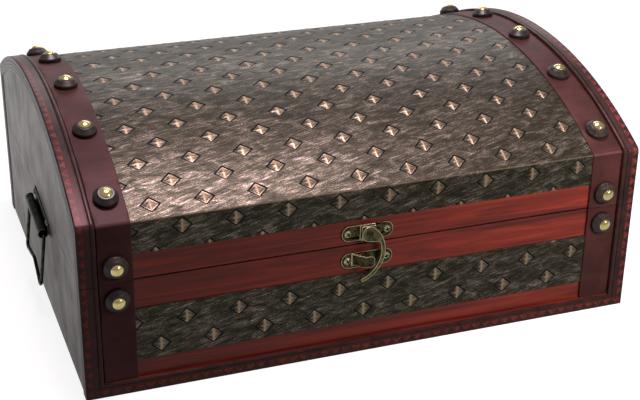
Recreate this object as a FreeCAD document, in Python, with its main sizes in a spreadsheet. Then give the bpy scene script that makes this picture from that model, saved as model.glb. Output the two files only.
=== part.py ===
import FreeCAD, Part
import math
import os
import Sketcher

# A wooden treasure chest with a barrel-topped lid, leather straps and brass nails.
# Millimetres. The origin is under the middle of the bottom, +X is to the right,
# -Y is the front with the latch and +Z is up.

doc = FreeCAD.newDocument("treasure_chest")

# Driving sizes: alias, value, meaning
driving_sizes = [
    # Whole chest
    ("chest_width", 355.6, "over the bindings of both ends"),
    ("chest_depth", 279.4, "over the front and back rims"),
    ("crown_height", 148.6, "floor to the top of the rims"),
    ("spring_height", 111.0, "floor to where the rims start to arch"),
    ("parting_height", 73.2, "floor to the top edge of the base"),
    ("parting_gap", 0.3, "slit between base and closed lid"),
    ("rim_corner_radius", 5.0, "rounding of the rims at the spring of the arch"),
    ("rim_proud", 3.2, "rim face over the wood of the front"),
    # Boards
    ("end_board_thickness", 9.8, "both ends of base and lid"),
    ("wall_thickness", 6.0, "front and back boards"),
    ("bottom_thickness", 5.0, "bottom board"),
    ("arch_panel_thickness", 4.0, "bent plywood of the lid"),
    ("moulding_height", 8.8, "strip along the bottom of front and back"),
    # Leather and embossed sheet
    ("end_cover_thickness", 0.5, "leather on the end faces"),
    ("binding_thickness", 0.7, "printed leather round the rims"),
    ("binding_fold", 9.5, "binding turned over the end faces"),
    ("cover_thickness", 0.9, "embossed sheet"),
    ("lid_band_height", 16.5, "wood between the slit and the embossed sheet of the lid"),
    ("base_band_height", 18.9, "wood between the slit and the embossed sheet of the base"),
    ("foot_band_height", 11.9, "wood between that sheet and the moulding"),
    ("strap_thickness", 1.6, "leather straps"),
    ("strap_width", 20.2, "leather straps"),
    ("strap_gap", 0.5, "groove between strap and rim"),
    # Wooden buttons and their nails
    ("button_radius", 7.3, "foot of a button"),
    ("button_top_radius", 4.7, "top of a button"),
    ("button_height", 5.3, "button without its nail"),
    ("button_skirt", 2.4, "upright part of the button's side"),
    ("nail_head_radius", 3.7, "domed brass head"),
    ("nail_head_height", 1.9, "domed brass head"),
    ("nail_shank_radius", 1.3, "shank through the button"),
    ("nail_clearance", 0.1, "shank in its hole"),
    ("button_front_distance", 18.6, "first button from the front edge of the arch, along the strap"),
    ("button_back_distance", 44.2, "last button from the back edge of the arch, along the strap"),
    ("button_parting_distance", 10.5, "front buttons above and below the slit"),
    # Swing latch
    ("latch_offset", 3.9, "latch to the left of the middle"),
    ("latch_plate_width", 33.0, "both plates"),
    ("latch_plate_height", 10.3, "both plates"),
    ("latch_plate_thickness", 1.0, "both plates"),
    ("latch_screw_reach", 12.5, "screw from the middle of its plate"),
    ("latch_pivot_height", 7.9, "middle of the upper plate above the slit"),
    ("latch_catch_height", 10.1, "middle of the lower plate below the slit"),
    ("boss_width", 9.2, "raised middle of the upper plate"),
    ("boss_height", 9.4, "raised middle of the upper plate"),
    ("boss_rise", 2.2, "raised middle of the upper plate"),
    ("hook_thickness", 1.6, "hook of stamped plate"),
    ("hook_play", 0.2, "hook to the boss and to the rivet head"),
    ("hook_hub_radius", 5.1, "round head of the hook"),
    ("hook_centre_left", 10.3, "middle of the hook's bow, left of the pivot"),
    ("hook_centre_drop", 11.8, "middle of the hook's bow, below the pivot"),
    ("hook_arm_width", 2.6, "arm at its tip"),
    ("hook_inner_radius", 18.6, "inner edge of the bow"),
    ("hook_root_angle", 105.0, "degrees below level where the arm's upper edge leaves the hub"),
    ("hook_corner_right", 6.7, "inner corner of arm and hub, right of the pivot"),
    ("hook_corner_drop", 6.1, "inner corner of arm and hub, below the pivot"),
    ("hook_corner_radius", 1.8, "rounding of that corner"),
    ("hook_tip_angle", 70.0, "degrees below level where the bow ends"),
    ("rivet_shank_radius", 1.5, "pivot rivet"),
    ("rivet_head_radius", 2.6, "pivot rivet"),
    ("rivet_head_height", 1.3, "pivot rivet"),
    ("rivet_clearance", 0.15, "rivet in the hook's eye"),
    ("tongue_left", 9.7, "tongue's root, left of the plate's middle"),
    ("tongue_run", 6.4, "slope from the root to the pad, along the plate"),
    ("tongue_standoff", 6.6, "tongue's pad over the plate"),
    ("tongue_lift", 0.8, "middle of the tongue over the plate's middle"),
    ("tongue_thickness", 1.0, "tongue bent out of the lower plate"),
    ("tongue_width", 6.0, "pad of the tongue"),
    ("tongue_height", 7.4, "tongue from bottom to top"),
    ("tongue_bend_radius", 1.6, "outside of the tongue's bend"),
    ("tongue_corner_radius", 2.5, "corners of the pad"),
    ("tongue_slot_width", 6.5, "window left where the tongue was cut out"),
    ("tongue_slot_height", 5.0, "window left where the tongue was cut out"),
    # Screws of the latch, hinges and handles
    ("screw_head_radius", 2.3, "domed screw head"),
    ("screw_head_height", 1.1, "domed screw head"),
    ("screw_shank_radius", 1.2, "screw shank"),
    ("screw_depth", 4.0, "screw in the wood"),
    ("screw_clearance", 0.15, "shank in plate and wood"),
    # Butt hinges on the back
    ("hinge_spread", 105.0, "hinge from the middle of the back"),
    ("hinge_width", 26.0, "length of the barrel"),
    ("hinge_leaf_height", 12.5, "leaf from the pin to its edge"),
    ("hinge_leaf_thickness", 1.0, "leaf"),
    ("hinge_leaf_corner", 2.0, "rounded corners of a leaf"),
    ("hinge_middle_length", 9.0, "knuckle of the lid's leaf"),
    ("hinge_knuckle_gap", 0.3, "between knuckles"),
    ("hinge_running_clearance", 0.3, "between barrel, wood and rims"),
    ("hinge_pin_radius", 1.1, "pin"),
    ("hinge_pin_clearance", 0.1, "pin in its knuckles"),
    ("hinge_pin_head", 0.8, "domed end of the pin past the barrel"),
    ("hinge_screw_reach", 7.5, "screw from the middle of its leaf"),
    ("hinge_screw_drop", 8.0, "screw from the pin"),
    # Drop handles on the ends
    ("handle_forward", 14.0, "handle towards the front from the middle"),
    ("handle_axis_height", 10.9, "barrel below the slit"),
    ("handle_barrel_length", 46.0, "rolled lower edge of the plate"),
    ("handle_barrel_radius", 3.5, "outside of the roll"),
    ("handle_roll_angle", 300.0, "degrees that the roll turns"),
    ("handle_plate_width", 50.0, "plate above the barrel"),
    ("handle_plate_rise", 8.4, "plate above the barrel's middle"),
    ("handle_plate_corner", 3.0, "rounded corners of the plate"),
    ("handle_sheet", 0.8, "thickness of the plate"),
    ("handle_screw_reach", 20.5, "screw from the middle of the plate"),
    ("handle_screw_rise", 5.6, "screw above the barrel's middle"),
    ("bail_wire_radius", 1.1, "wire of the bail"),
    ("bail_bend_radius", 1.9, "upper bends"),
    ("bail_corner_radius", 3.2, "lower bends"),
    ("bail_bow_radius", 6.0, "raised middle of the lower bar"),
    ("bail_bow_rise", 5.2, "raised middle of the lower bar"),
    ("bail_drop", 36.0, "barrel to the lower corners"),
    ("bail_end_gap", 1.2, "between the wire's two ends inside the barrel"),
    ("bail_seat", 0.3, "wire over the inside of the barrel"),
    ("bail_lean", 6.0, "degrees that the bail hangs out from the end"),
    ("left_handle_tilt", 6.0, "degrees that the left handle's front end is mounted lower"),
]

# Places that follow from the driving sizes
derived_places = [
    ("half_width", "sizes.chest_width / 2"),
    ("half_depth", "sizes.chest_depth / 2"),
    ("arch_rise", "sizes.crown_height - sizes.spring_height"),
    ("arch_radius", "(half_depth ^ 2 + arch_rise ^ 2) / (2 * arch_rise)"),
    ("arch_centre", "sizes.crown_height - arch_radius"),
    ("end_face", "half_width - sizes.binding_thickness"),
    ("end_wood", "end_face - sizes.end_cover_thickness"),
    ("end_inside", "end_wood - sizes.end_board_thickness"),
    ("rim_width", "half_width - end_inside"),
    ("wood_face", "half_depth - sizes.rim_proud"),
    ("wood_inside", "wood_face - sizes.wall_thickness"),
    ("board_edge", "half_depth - sizes.binding_thickness"),
    ("board_corner_radius", "sizes.rim_corner_radius - sizes.binding_thickness"),
    ("lid_foot", "sizes.parting_height + sizes.parting_gap"),
    ("strap_outside", "end_inside - sizes.strap_gap"),
    ("strap_inside", "strap_outside - sizes.strap_width"),
    ("strap_middle", "strap_outside - sizes.strap_width / 2"),
    ("strap_face", "wood_face + sizes.strap_thickness"),
    ("strap_radius", "arch_radius - sizes.rim_proud + sizes.strap_thickness"),
    ("strap_half_turn", "asin(strap_face / strap_radius) / 1 deg"),
    ("button_first_turn", "sizes.button_front_distance / strap_radius * 180 / pi - strap_half_turn"),
    ("button_last_turn", "strap_half_turn - sizes.button_back_distance / strap_radius * 180 / pi"),
    ("lid_cover_foot", "sizes.parting_height + sizes.lid_band_height"),
    ("base_cover_foot", "sizes.moulding_height + sizes.foot_band_height"),
    ("base_cover_top", "sizes.parting_height - sizes.base_band_height"),
    ("latch_pivot", "sizes.parting_height + sizes.latch_pivot_height"),
    ("latch_catch", "sizes.parting_height - sizes.latch_catch_height"),
    ("handle_axis", "sizes.parting_height - sizes.handle_axis_height"),
    ("tongue_slope", "atan(sizes.tongue_standoff / sizes.tongue_run) / 1 deg"),
    ("hook_reach", "sqrt(sizes.hook_centre_left ^ 2 + sizes.hook_centre_drop ^ 2)"),
    ("hook_radius", "hook_reach + sizes.hook_hub_radius"),
    ("hook_back", "sizes.latch_plate_thickness + sizes.boss_rise + sizes.hook_play"),
    ("hook_front", "hook_back + sizes.hook_thickness"),
    ("hinge_axis_out", "half_depth + sizes.hinge_running_clearance"),
    ("hinge_axis_height", "sizes.parting_height + sizes.parting_gap / 2"),
    ("hinge_offset", "hinge_axis_out - wood_face"),
    ("hinge_radius", "hinge_offset - sizes.hinge_running_clearance"),
    ("hinge_bore", "sizes.hinge_pin_radius + sizes.hinge_pin_clearance"),
    ("hinge_side_length", "(sizes.hinge_width - sizes.hinge_middle_length) / 2 - sizes.hinge_knuckle_gap"),
    ("bail_half_width", "sizes.handle_barrel_length / 2 + sizes.bail_bend_radius + sizes.bail_seat"),
    ("barrel_inside", "sizes.handle_barrel_radius - sizes.handle_sheet"),
    ("bail_sag", "barrel_inside - sizes.bail_wire_radius - sizes.bail_seat"),
]

sheet = doc.addObject("Spreadsheet::Sheet", "sizes")
for row, (alias, value, meaning) in enumerate(driving_sizes, start=1):
    sheet.set(f"A{row}", str(value))
    sheet.setAlias(f"A{row}", alias)
    sheet.set(f"B{row}", meaning)

places = doc.addObject("Spreadsheet::Sheet", "places")
for row, (alias, formula) in enumerate(derived_places, start=1):
    places.set(f"A{row}", "=" + formula)
    places.setAlias(f"A{row}", alias)
doc.recompute()

nodes = {}


def number(formula):
    return float(places.evalExpression(formula))


def keep(label, piece):
    piece.Label = label
    nodes[label] = piece
    return piece


def place(piece, x="0", y="0", z="0", axis=(0, 0, 1), angle="0"):
    piece.Placement = FreeCAD.Placement(
        FreeCAD.Vector(0, 0, 0), FreeCAD.Rotation(FreeCAD.Vector(*axis), 1)
    )
    piece.setExpression("Placement.Base.x", x)
    piece.setExpression("Placement.Base.y", y)
    piece.setExpression("Placement.Base.z", z)
    piece.setExpression("Placement.Rotation.Angle", f"({angle}) * 1 deg")
    return piece


# A plain board: a box between two corners
def block(label, low, high):
    piece = doc.addObject("Part::Box", label)
    for side, start, end in zip(("Length", "Width", "Height"), low, high):
        piece.setExpression(side, f"({end}) - ({start})")
    place(piece, *low)
    return keep(label, piece)


def new_body(label):
    return keep(label, doc.addObject("PartDesign::Body", label))


def sketch_on(body, plane, start="0"):
    sketch = body.newObject("Sketcher::SketchObject", "Sketch")
    origin = [item for item in body.Origin.OriginFeatures if item.Role == plane]
    sketch.AttachmentSupport = [(origin[0], "")]
    sketch.MapMode = "FlatFace"
    sketch.setExpression("AttachmentOffset.Base.z", start)
    return sketch


def bind(sketch, formula, kind, *ends):
    index = sketch.addConstraint(Sketcher.Constraint(kind, *ends, number(formula)))
    sketch.setExpression(f"Constraints[{index}]", formula)


# Middle of an arc from its two ends and its radius, on the left of the way when turn is 1
def arc_middle(first, last, radius, turn):
    across = last - first
    half = across.Length / 2
    side = FreeCAD.Vector(-across.y, across.x, 0).normalize()
    return (first + last) / 2 + side * (turn * math.sqrt(max(radius ** 2 - half ** 2, 0)))


# A closed outline through corners given as formulas. An arc replaces the straight line after
# a corner: it is told by its middle, or by its radius, and turns left (1) or right (-1).
def trace(sketch, corners, arcs=None):
    arcs = arcs or {}
    spots = [FreeCAD.Vector(number(u), number(v), 0) for u, v in corners]
    first_edge = sketch.GeometryCount
    starts, ends = [], []
    for index, spot in enumerate(spots):
        following = spots[(index + 1) % len(spots)]
        if index not in arcs:
            edge = sketch.addGeometry(Part.LineSegment(spot, following), False)
            starts.append((edge, 1))
            ends.append((edge, 2))
            continue
        turn = arcs[index][-1]
        if len(arcs[index]) == 3:
            middle = FreeCAD.Vector(number(arcs[index][0]), number(arcs[index][1]), 0)
        else:
            middle = arc_middle(spot, following, number(arcs[index][0]), turn)
        begin, finish = (spot, following) if turn > 0 else (following, spot)
        angles = [math.atan2(p.y - middle.y, p.x - middle.x) for p in (begin, finish)]
        if angles[1] <= angles[0]:
            angles[1] += 2 * math.pi
        circle = Part.Circle(middle, FreeCAD.Vector(0, 0, 1), (spot - middle).Length)
        edge = sketch.addGeometry(Part.ArcOfCircle(circle, *angles), False)
        starts.append((edge, 1 if turn > 0 else 2))
        ends.append((edge, 2 if turn > 0 else 1))
    for index in range(len(spots)):
        following = (index + 1) % len(spots)
        sketch.addConstraint(Sketcher.Constraint("Coincident", *ends[index], *starts[following]))
    for index, (u, v) in enumerate(corners):
        bind(sketch, u, "DistanceX", -1, 1, *starts[index])
        bind(sketch, v, "DistanceY", -1, 1, *starts[index])
    for index, arc in arcs.items():
        edge = first_edge + index
        if len(arc) == 2:
            bind(sketch, arc[0], "Radius", edge)
            continue
        across = spots[(index + 1) % len(spots)] - spots[index]
        if abs(across.x) > abs(across.y):
            bind(sketch, arc[1], "DistanceY", -1, 1, edge, 3)
        else:
            bind(sketch, arc[0], "DistanceX", -1, 1, edge, 3)


def ring(sketch, u, v, radius):
    middle = FreeCAD.Vector(number(u), number(v), 0)
    circle = Part.Circle(middle, FreeCAD.Vector(0, 0, 1), number(radius))
    edge = sketch.addGeometry(circle, False)
    bind(sketch, u, "DistanceX", -1, 1, edge, 3)
    bind(sketch, v, "DistanceY", -1, 1, edge, 3)
    bind(sketch, radius, "Radius", edge)


def pad(body, sketch, length):
    feature = body.newObject("PartDesign::Pad", "Pad")
    feature.Profile = sketch
    feature.setExpression("Length", length)
    doc.recompute()
    return feature


def pocket(body, sketch, length, backwards=False):
    doc.recompute()
    before = body.Shape.Volume
    feature = body.newObject("PartDesign::Pocket", "Pocket")
    feature.Profile = sketch
    feature.setExpression("Length", length)
    feature.Reversed = backwards
    doc.recompute()
    if not body.Shape.Volume < before:
        raise RuntimeError(f"{body.Label}: the pocket cuts nothing")
    return feature


def extruded(label, plane, start, length, corners, arcs=None, holes=()):
    body = new_body(label)
    sketch = sketch_on(body, plane, start)
    trace(sketch, corners, arcs)
    for hole in holes:
        ring(sketch, *hole)
    pad(body, sketch, length)
    return body


# A turned piece that stands on the origin and points up
def turned(label, corners, arcs=None):
    body = doc.addObject("PartDesign::Body", label)
    body.Label = label
    sketch = sketch_on(body, "XZ_Plane")
    trace(sketch, corners, arcs)
    feature = body.newObject("PartDesign::Revolution", "Revolution")
    feature.Profile = sketch
    feature.ReferenceAxis = (sketch, ["V_Axis"])
    feature.Angle = 360
    doc.recompute()
    return body


# Copies of a turned piece in one node, each at its own place
def group(label, piece, spots):
    copies = []
    for spot in spots:
        copy = doc.addObject("App::Link", label + "_copy")
        copy.LinkedObject = piece
        place(copy, *spot)
        copies.append(copy)
    bundle = doc.addObject("Part::Compound", label)
    bundle.Links = copies
    return keep(label, bundle)


def rounded(body, radius, chosen):
    base = body.Tip
    picked = []
    for index, edge in enumerate(base.Shape.Edges, start=1):
        if edge.Curve.TypeId == "Part::GeomLine" and chosen(edge):
            picked.append(f"Edge{index}")
    feature = body.newObject("PartDesign::Fillet", "Fillet")
    feature.Base = (base, picked)
    feature.setExpression("Radius", radius)
    doc.recompute()
    return feature


def rect(low_u, low_v, high_u, high_v):
    return [(low_u, low_v), (high_u, low_v), (high_u, high_v), (low_u, high_v)]


FRONT = -1
BACK = 1
SIDES = {"left": -1, "right": 1}
FACES = {"front": FRONT, "back": BACK}


# Height at which the arch meets the front, a depth below the rim's surface
def shoulder(depth):
    return (
        f"places.arch_centre + sqrt((places.arch_radius - ({depth})) ^ 2"
        f" - (places.half_depth - ({depth})) ^ 2)"
    )


# The lid's outline seen from the end, a depth below the rim's surface
def dome(depth, foot):
    reach = f"(places.half_depth - ({depth}))"
    corners = [("-" + reach, foot), (reach, foot), (reach, shoulder(depth)), ("-" + reach, shoulder(depth))]
    return corners, {2: ("0", "places.arch_centre", 1)}


# A band that follows front, arch and back between two depths below the rim's surface
def hood(outer, inner, foot):
    far = f"(places.half_depth - ({outer}))"
    near = f"(places.half_depth - ({inner}))"
    corners = [
        (far, foot), (far, shoulder(outer)), ("-" + far, shoulder(outer)), ("-" + far, foot),
        ("-" + near, foot), ("-" + near, shoulder(inner)), (near, shoulder(inner)), (near, foot),
    ]
    arcs = {1: ("0", "places.arch_centre", 1), 5: ("0", "places.arch_centre", -1)}
    return corners, arcs


# Edges along X on the shoulder of the lid
def on_shoulder(depth):
    reach = number(f"places.half_depth - ({depth})")
    height = number(shoulder(depth))
    slack = number("sizes.binding_thickness") / 4

    def test(edge):
        middle = edge.CenterOfMass
        level = abs(edge.Vertexes[0].Z - edge.Vertexes[-1].Z) < slack
        return level and abs(abs(middle.y) - reach) < slack and abs(middle.z - height) < slack

    return test


# Spots of the screws, as seen on the faces that they go into
latch_screws = [f"-sizes.latch_offset {sign} sizes.latch_screw_reach" for sign in "-+"]
hinge_screws = [
    f"{side} * sizes.hinge_spread {sign} sizes.hinge_screw_reach"
    for side in SIDES.values() for sign in "-+"
]
handle_tilts = {"left": "sizes.left_handle_tilt", "right": "0"}


# Where a point of a handle lies on its end, from how far it is back and up from the middle of the barrel
def on_handle(name, back, up):
    tilt = handle_tilts[name]
    return (
        f"-sizes.handle_forward + ({back}) * cos({tilt}) - ({up}) * sin({tilt})",
        f"places.handle_axis + ({back}) * sin({tilt}) + ({up}) * cos({tilt})",
    )


handle_screws = {
    name: [on_handle(name, f"{sign} sizes.handle_screw_reach", "sizes.handle_screw_rise") for sign in "-+"]
    for name in SIDES
}
screw_hole = "sizes.screw_shank_radius + sizes.screw_clearance"
screw_spots = {
    ("base", FRONT): (latch_screws, "places.latch_catch"),
    ("base", BACK): (hinge_screws, "places.hinge_axis_height - sizes.hinge_screw_drop"),
    ("lid", FRONT): (latch_screws, "places.latch_pivot"),
    ("lid", BACK): (hinge_screws, "places.hinge_axis_height + sizes.hinge_screw_drop"),
}


def pilot_holes(body, part, face):
    spots, height = screw_spots[part, face]
    sketch = sketch_on(body, "XZ_Plane", f"-({face}) * places.wood_face")
    for spot in spots:
        ring(sketch, spot, height, screw_hole)
    pocket(body, sketch, "sizes.screw_depth + sizes.screw_clearance", backwards=face == BACK)


# Boards of the base
block(
    "bottom_board",
    ("-places.end_inside", "-places.wood_inside", "0"),
    ("places.end_inside", "places.wood_inside", "sizes.bottom_thickness"),
)
for name, face in FACES.items():
    outside = f"{face} * places.wood_face"
    inside = f"{face} * places.wood_inside"
    board = extruded(
        f"base_{name}_board", "YZ_Plane", "-places.end_inside", "2 * places.end_inside",
        rect(inside, "0", outside, "sizes.parting_height"),
    )
    pilot_holes(board, "base", face)
for name, side in SIDES.items():
    start = "places.end_inside" if side > 0 else "-places.end_wood"
    board = extruded(
        f"base_{name}_end_board", "YZ_Plane", start, "sizes.end_board_thickness",
        rect("-places.board_edge", "0", "places.board_edge", "sizes.parting_height"),
    )
    sketch = sketch_on(board, "YZ_Plane", f"{side} * places.end_wood")
    for spot in handle_screws[name]:
        ring(sketch, *spot, screw_hole)
    pocket(board, sketch, "sizes.screw_depth + sizes.screw_clearance", backwards=side < 0)

# Boards of the lid: ends, front, back and the bent panel over them
panel_underside = "(places.arch_radius - sizes.rim_proud - sizes.arch_panel_thickness)"
for name, face in FACES.items():
    outside = f"{face} * places.wood_face"
    inside = f"{face} * places.wood_inside"
    tops = [
        f"places.arch_centre + sqrt({panel_underside} ^ 2 - ({out}) ^ 2)" for out in (outside, inside)
    ]
    board = extruded(
        f"lid_{name}_board", "YZ_Plane", "-places.end_inside", "2 * places.end_inside",
        [(outside, "places.lid_foot"), (outside, tops[0]), (inside, tops[1]), (inside, "places.lid_foot")],
        {1: (panel_underside, face)},
    )
    pilot_holes(board, "lid", face)
for name, side in SIDES.items():
    start = "places.end_inside" if side > 0 else "-places.end_wood"
    corners, arcs = dome("sizes.binding_thickness", "places.lid_foot")
    board = extruded(
        f"lid_{name}_end_board", "YZ_Plane", start, "sizes.end_board_thickness", corners, arcs
    )
    rounded(board, "places.board_corner_radius", on_shoulder("sizes.binding_thickness"))
wood_edge = "places.wood_face"
panel_top = f"places.arch_centre + sqrt((places.arch_radius - sizes.rim_proud) ^ 2 - {wood_edge} ^ 2)"
panel_foot = f"places.arch_centre + sqrt({panel_underside} ^ 2 - {wood_edge} ^ 2)"
extruded(
    "lid_arch_panel", "YZ_Plane", "-places.end_inside", "2 * places.end_inside",
    [
        (wood_edge, panel_foot), (wood_edge, panel_top),
        ("-" + wood_edge, panel_top), ("-" + wood_edge, panel_foot),
    ],
    {1: ("0", "places.arch_centre", 1), 3: ("0", "places.arch_centre", -1)},
)

# Leather on the end faces
for name, side in SIDES.items():
    start = "places.end_wood" if side > 0 else "-places.end_face"
    extruded(
        f"base_{name}_end_cover", "YZ_Plane", start, "sizes.end_cover_thickness",
        rect("-places.board_edge", "0", "places.board_edge", "sizes.parting_height"),
        holes=[(*spot, screw_hole) for spot in handle_screws[name]],
    )
    corners, arcs = dome("sizes.binding_thickness", "places.lid_foot")
    cover = extruded(
        f"lid_{name}_end_cover", "YZ_Plane", start, "sizes.end_cover_thickness", corners, arcs
    )
    rounded(cover, "places.board_corner_radius", on_shoulder("sizes.binding_thickness"))

# Printed bindings round the rims, turned over onto the end faces
for name, side in SIDES.items():
    for face_name, face in FACES.items():
        edge_in = f"{side} * places.end_inside"
        edge_out = f"{side} * places.half_width"
        start = "places.board_edge" if face == FRONT else "-places.half_depth"
        binding = extruded(
            f"base_{name}_{face_name}_binding", "XZ_Plane", start, "sizes.binding_thickness",
            [
                (edge_in, "sizes.moulding_height"), (edge_out, "0"),
                (edge_out, "sizes.parting_height"), (edge_in, "sizes.parting_height"),
            ],
        )
        fold = sketch_on(binding, "YZ_Plane", "places.end_face" if side > 0 else "-places.half_width")
        fold_end = f"{face} * (places.half_depth - sizes.binding_fold)"
        trace(fold, rect(f"{face} * places.board_edge", "0", fold_end, "sizes.parting_height"))
        pad(binding, fold, "sizes.binding_thickness")
    corners, arcs = hood("0", "sizes.binding_thickness", "places.lid_foot")
    binding = extruded(
        f"lid_{name}_binding", "YZ_Plane", "places.end_inside" if side > 0 else "-places.half_width",
        "places.rim_width", corners, arcs,
    )
    rounded(binding, "sizes.rim_corner_radius", on_shoulder("0"))
    rounded(binding, "places.board_corner_radius", on_shoulder("sizes.binding_thickness"))
    fold = sketch_on(binding, "YZ_Plane", "places.end_face" if side > 0 else "-places.half_width")
    trace(fold, *hood("sizes.binding_thickness", "sizes.binding_fold", "places.lid_foot"))
    pad(binding, fold, "sizes.binding_thickness")

# Mouldings along the bottom with their printed strips, mitred into the bindings of the rims
for name, face in FACES.items():
    edges = sorted((f"{face} * places.wood_face", f"{face} * places.board_edge"), key=number)
    block(
        f"{name}_moulding",
        ("-places.end_inside", edges[0], "0"),
        ("places.end_inside", edges[1], "sizes.moulding_height"),
    )
    extruded(
        f"{name}_moulding_binding", "XZ_Plane",
        "places.board_edge" if face == FRONT else "-places.half_depth", "sizes.binding_thickness",
        [
            ("-places.half_width", "0"), ("places.half_width", "0"),
            ("places.end_inside", "sizes.moulding_height"), ("-places.end_inside", "sizes.moulding_height"),
        ],
    )

# Embossed sheets between the straps
for name, face in FACES.items():
    edges = sorted(
        (f"{face} * places.wood_face", f"{face} * (places.wood_face + sizes.cover_thickness)"), key=number
    )
    block(
        f"base_{name}_embossed_sheet",
        ("-places.strap_inside", edges[0], "places.base_cover_foot"),
        ("places.strap_inside", edges[1], "places.base_cover_top"),
    )
extruded(
    "lid_embossed_sheet", "YZ_Plane", "-places.strap_inside", "2 * places.strap_inside",
    *hood("sizes.rim_proud - sizes.cover_thickness", "sizes.rim_proud", "places.lid_cover_foot"),
)

# Straps: one over each side of the lid, and one below it on front and back
for name, side in SIDES.items():
    edges = sorted((f"{side} * places.strap_inside", f"{side} * places.strap_outside"), key=number)
    for face_name, face in FACES.items():
        depths = sorted((f"{face} * places.wood_face", f"{face} * places.strap_face"), key=number)
        block(
            f"base_{name}_{face_name}_strap",
            (edges[0], depths[0], "sizes.moulding_height"),
            (edges[1], depths[1], "sizes.parting_height"),
        )
    extruded(
        f"lid_{name}_strap", "YZ_Plane", edges[0], "sizes.strap_width",
        *hood("sizes.rim_proud - sizes.strap_thickness", "sizes.rim_proud", "places.lid_foot"),
    )

# Wooden buttons, each under a brass nail
button_bore = "sizes.nail_shank_radius + sizes.nail_clearance"
button = turned(
    "button_pattern",
    [
        (button_bore, "0"), ("sizes.button_radius", "0"), ("sizes.button_radius", "sizes.button_skirt"),
        ("sizes.button_top_radius", "sizes.button_height"), (button_bore, "sizes.button_height"),
    ],
)


# A domed head on a shank: the shank's foot is at the origin
def domed_pin(label, shank, length, head, height):
    dome_radius = f"(({head}) ^ 2 + ({height}) ^ 2) / (2 * ({height}))"
    top = f"({length}) + ({height})"
    return turned(
        label,
        [("0", "0"), (shank, "0"), (shank, length), (head, length), ("0", top)],
        {3: ("0", f"{top} - {dome_radius}", 1)},
    )


nail = domed_pin(
    "nail_pattern", "sizes.nail_shank_radius", "sizes.button_height",
    "sizes.nail_head_radius", "sizes.nail_head_height",
)

along_x = (1, 0, 0)
along_y = (0, 1, 0)
button_columns = [f"{side} * places.strap_middle" for side in SIDES.values()]
buttons_on_arch = 5
arch_shares = [step / (buttons_on_arch - 1) for step in range(buttons_on_arch)]
arch_spots = []
for column in button_columns:
    for share in arch_shares:
        turn = f"places.button_first_turn + {share} * (places.button_last_turn - places.button_first_turn)"
        arch_spots.append((
            column, f"places.strap_radius * sin({turn})",
            f"places.arch_centre + places.strap_radius * cos({turn})", along_x, f"-1 * ({turn})",
        ))
front_spots = {}
for part, sign in (("lid", "+"), ("base", "-")):
    height = f"sizes.parting_height {sign} sizes.button_parting_distance"
    front_spots[part] = [(column, "-places.strap_face", height, along_x, "90") for column in button_columns]
group("lid_buttons", button, arch_spots + front_spots["lid"])
group("lid_button_nails", nail, arch_spots + front_spots["lid"])
group("base_buttons", button, front_spots["base"])
group("base_button_nails", nail, front_spots["base"])

# Screws, with their shanks starting in the wood
screw = domed_pin(
    "screw_pattern", "sizes.screw_shank_radius", "sizes.screw_depth + sizes.latch_plate_thickness",
    "sizes.screw_head_radius", "sizes.screw_head_height",
)
leaf_screw = domed_pin(
    "leaf_screw_pattern", "sizes.screw_shank_radius", "sizes.screw_depth + sizes.hinge_leaf_thickness",
    "sizes.screw_head_radius", "sizes.screw_head_height",
)
handle_screw = domed_pin(
    "handle_screw_pattern", "sizes.screw_shank_radius",
    "sizes.screw_depth + sizes.end_cover_thickness + sizes.handle_sheet",
    "sizes.screw_head_radius", "sizes.screw_head_height",
)
for (part, face), (spots, height) in screw_spots.items():
    label = f"{part}_latch_screws" if face == FRONT else f"{part}_hinge_screws"
    group(
        label, screw if face == FRONT else leaf_screw,
        [
            (spot, f"{face} * (places.wood_face - sizes.screw_depth)", height, along_x, str(-90 * face))
            for spot in spots
        ],
    )
for name, side in SIDES.items():
    group(
        f"{name}_handle_screws", handle_screw,
        [
            (f"{side} * (places.end_wood - sizes.screw_depth)", *spot, along_y, str(90 * side))
            for spot in handle_screws[name]
        ],
    )


# Latch plate with round ends
def latch_plate(label, height):
    half = "(sizes.latch_plate_height / 2)"
    straight = f"(sizes.latch_plate_width / 2 - {half})"
    body = extruded(
        label, "XZ_Plane", "0", "sizes.latch_plate_thickness",
        rect("-" + straight, "-" + half, straight, half),
        {1: (straight, "0", 1), 3: ("-" + straight, "0", 1)},
        [(f"{sign} sizes.latch_screw_reach", "0", screw_hole) for sign in "-+"],
    )
    return place(body, "-sizes.latch_offset", "-places.wood_face", height)


# The upper plate has a raised middle that carries the pivot
rivet_hole = "sizes.rivet_shank_radius + sizes.rivet_clearance"
upper_plate = latch_plate("latch_upper_plate", "places.latch_pivot")
boss = sketch_on(upper_plate, "XZ_Plane", "sizes.latch_plate_thickness")
trace(boss, rect(
    "-sizes.boss_width / 2", "-sizes.boss_height / 2", "sizes.boss_width / 2", "sizes.boss_height / 2"
))
pad(upper_plate, boss, "sizes.boss_rise")
eye = sketch_on(upper_plate, "XZ_Plane", "sizes.latch_plate_thickness + sizes.boss_rise")
ring(eye, "0", "0", rivet_hole)
pocket(upper_plate, eye, "sizes.boss_rise + sizes.latch_plate_thickness")


# Edges along an axis, 0 for X to 2 for Z, at a place told by the two other coordinates
def edge_at(axis, first, second, slack):
    others = [index for index in range(3) if index != axis]
    wanted = dict(zip(others, (number(first), number(second))))
    reach = number(slack)

    def test(edge):
        ends = [vertex.Point for vertex in edge.Vertexes]
        return all(abs(end[index] - wanted[index]) < reach for end in ends for index in others)

    return test


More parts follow.
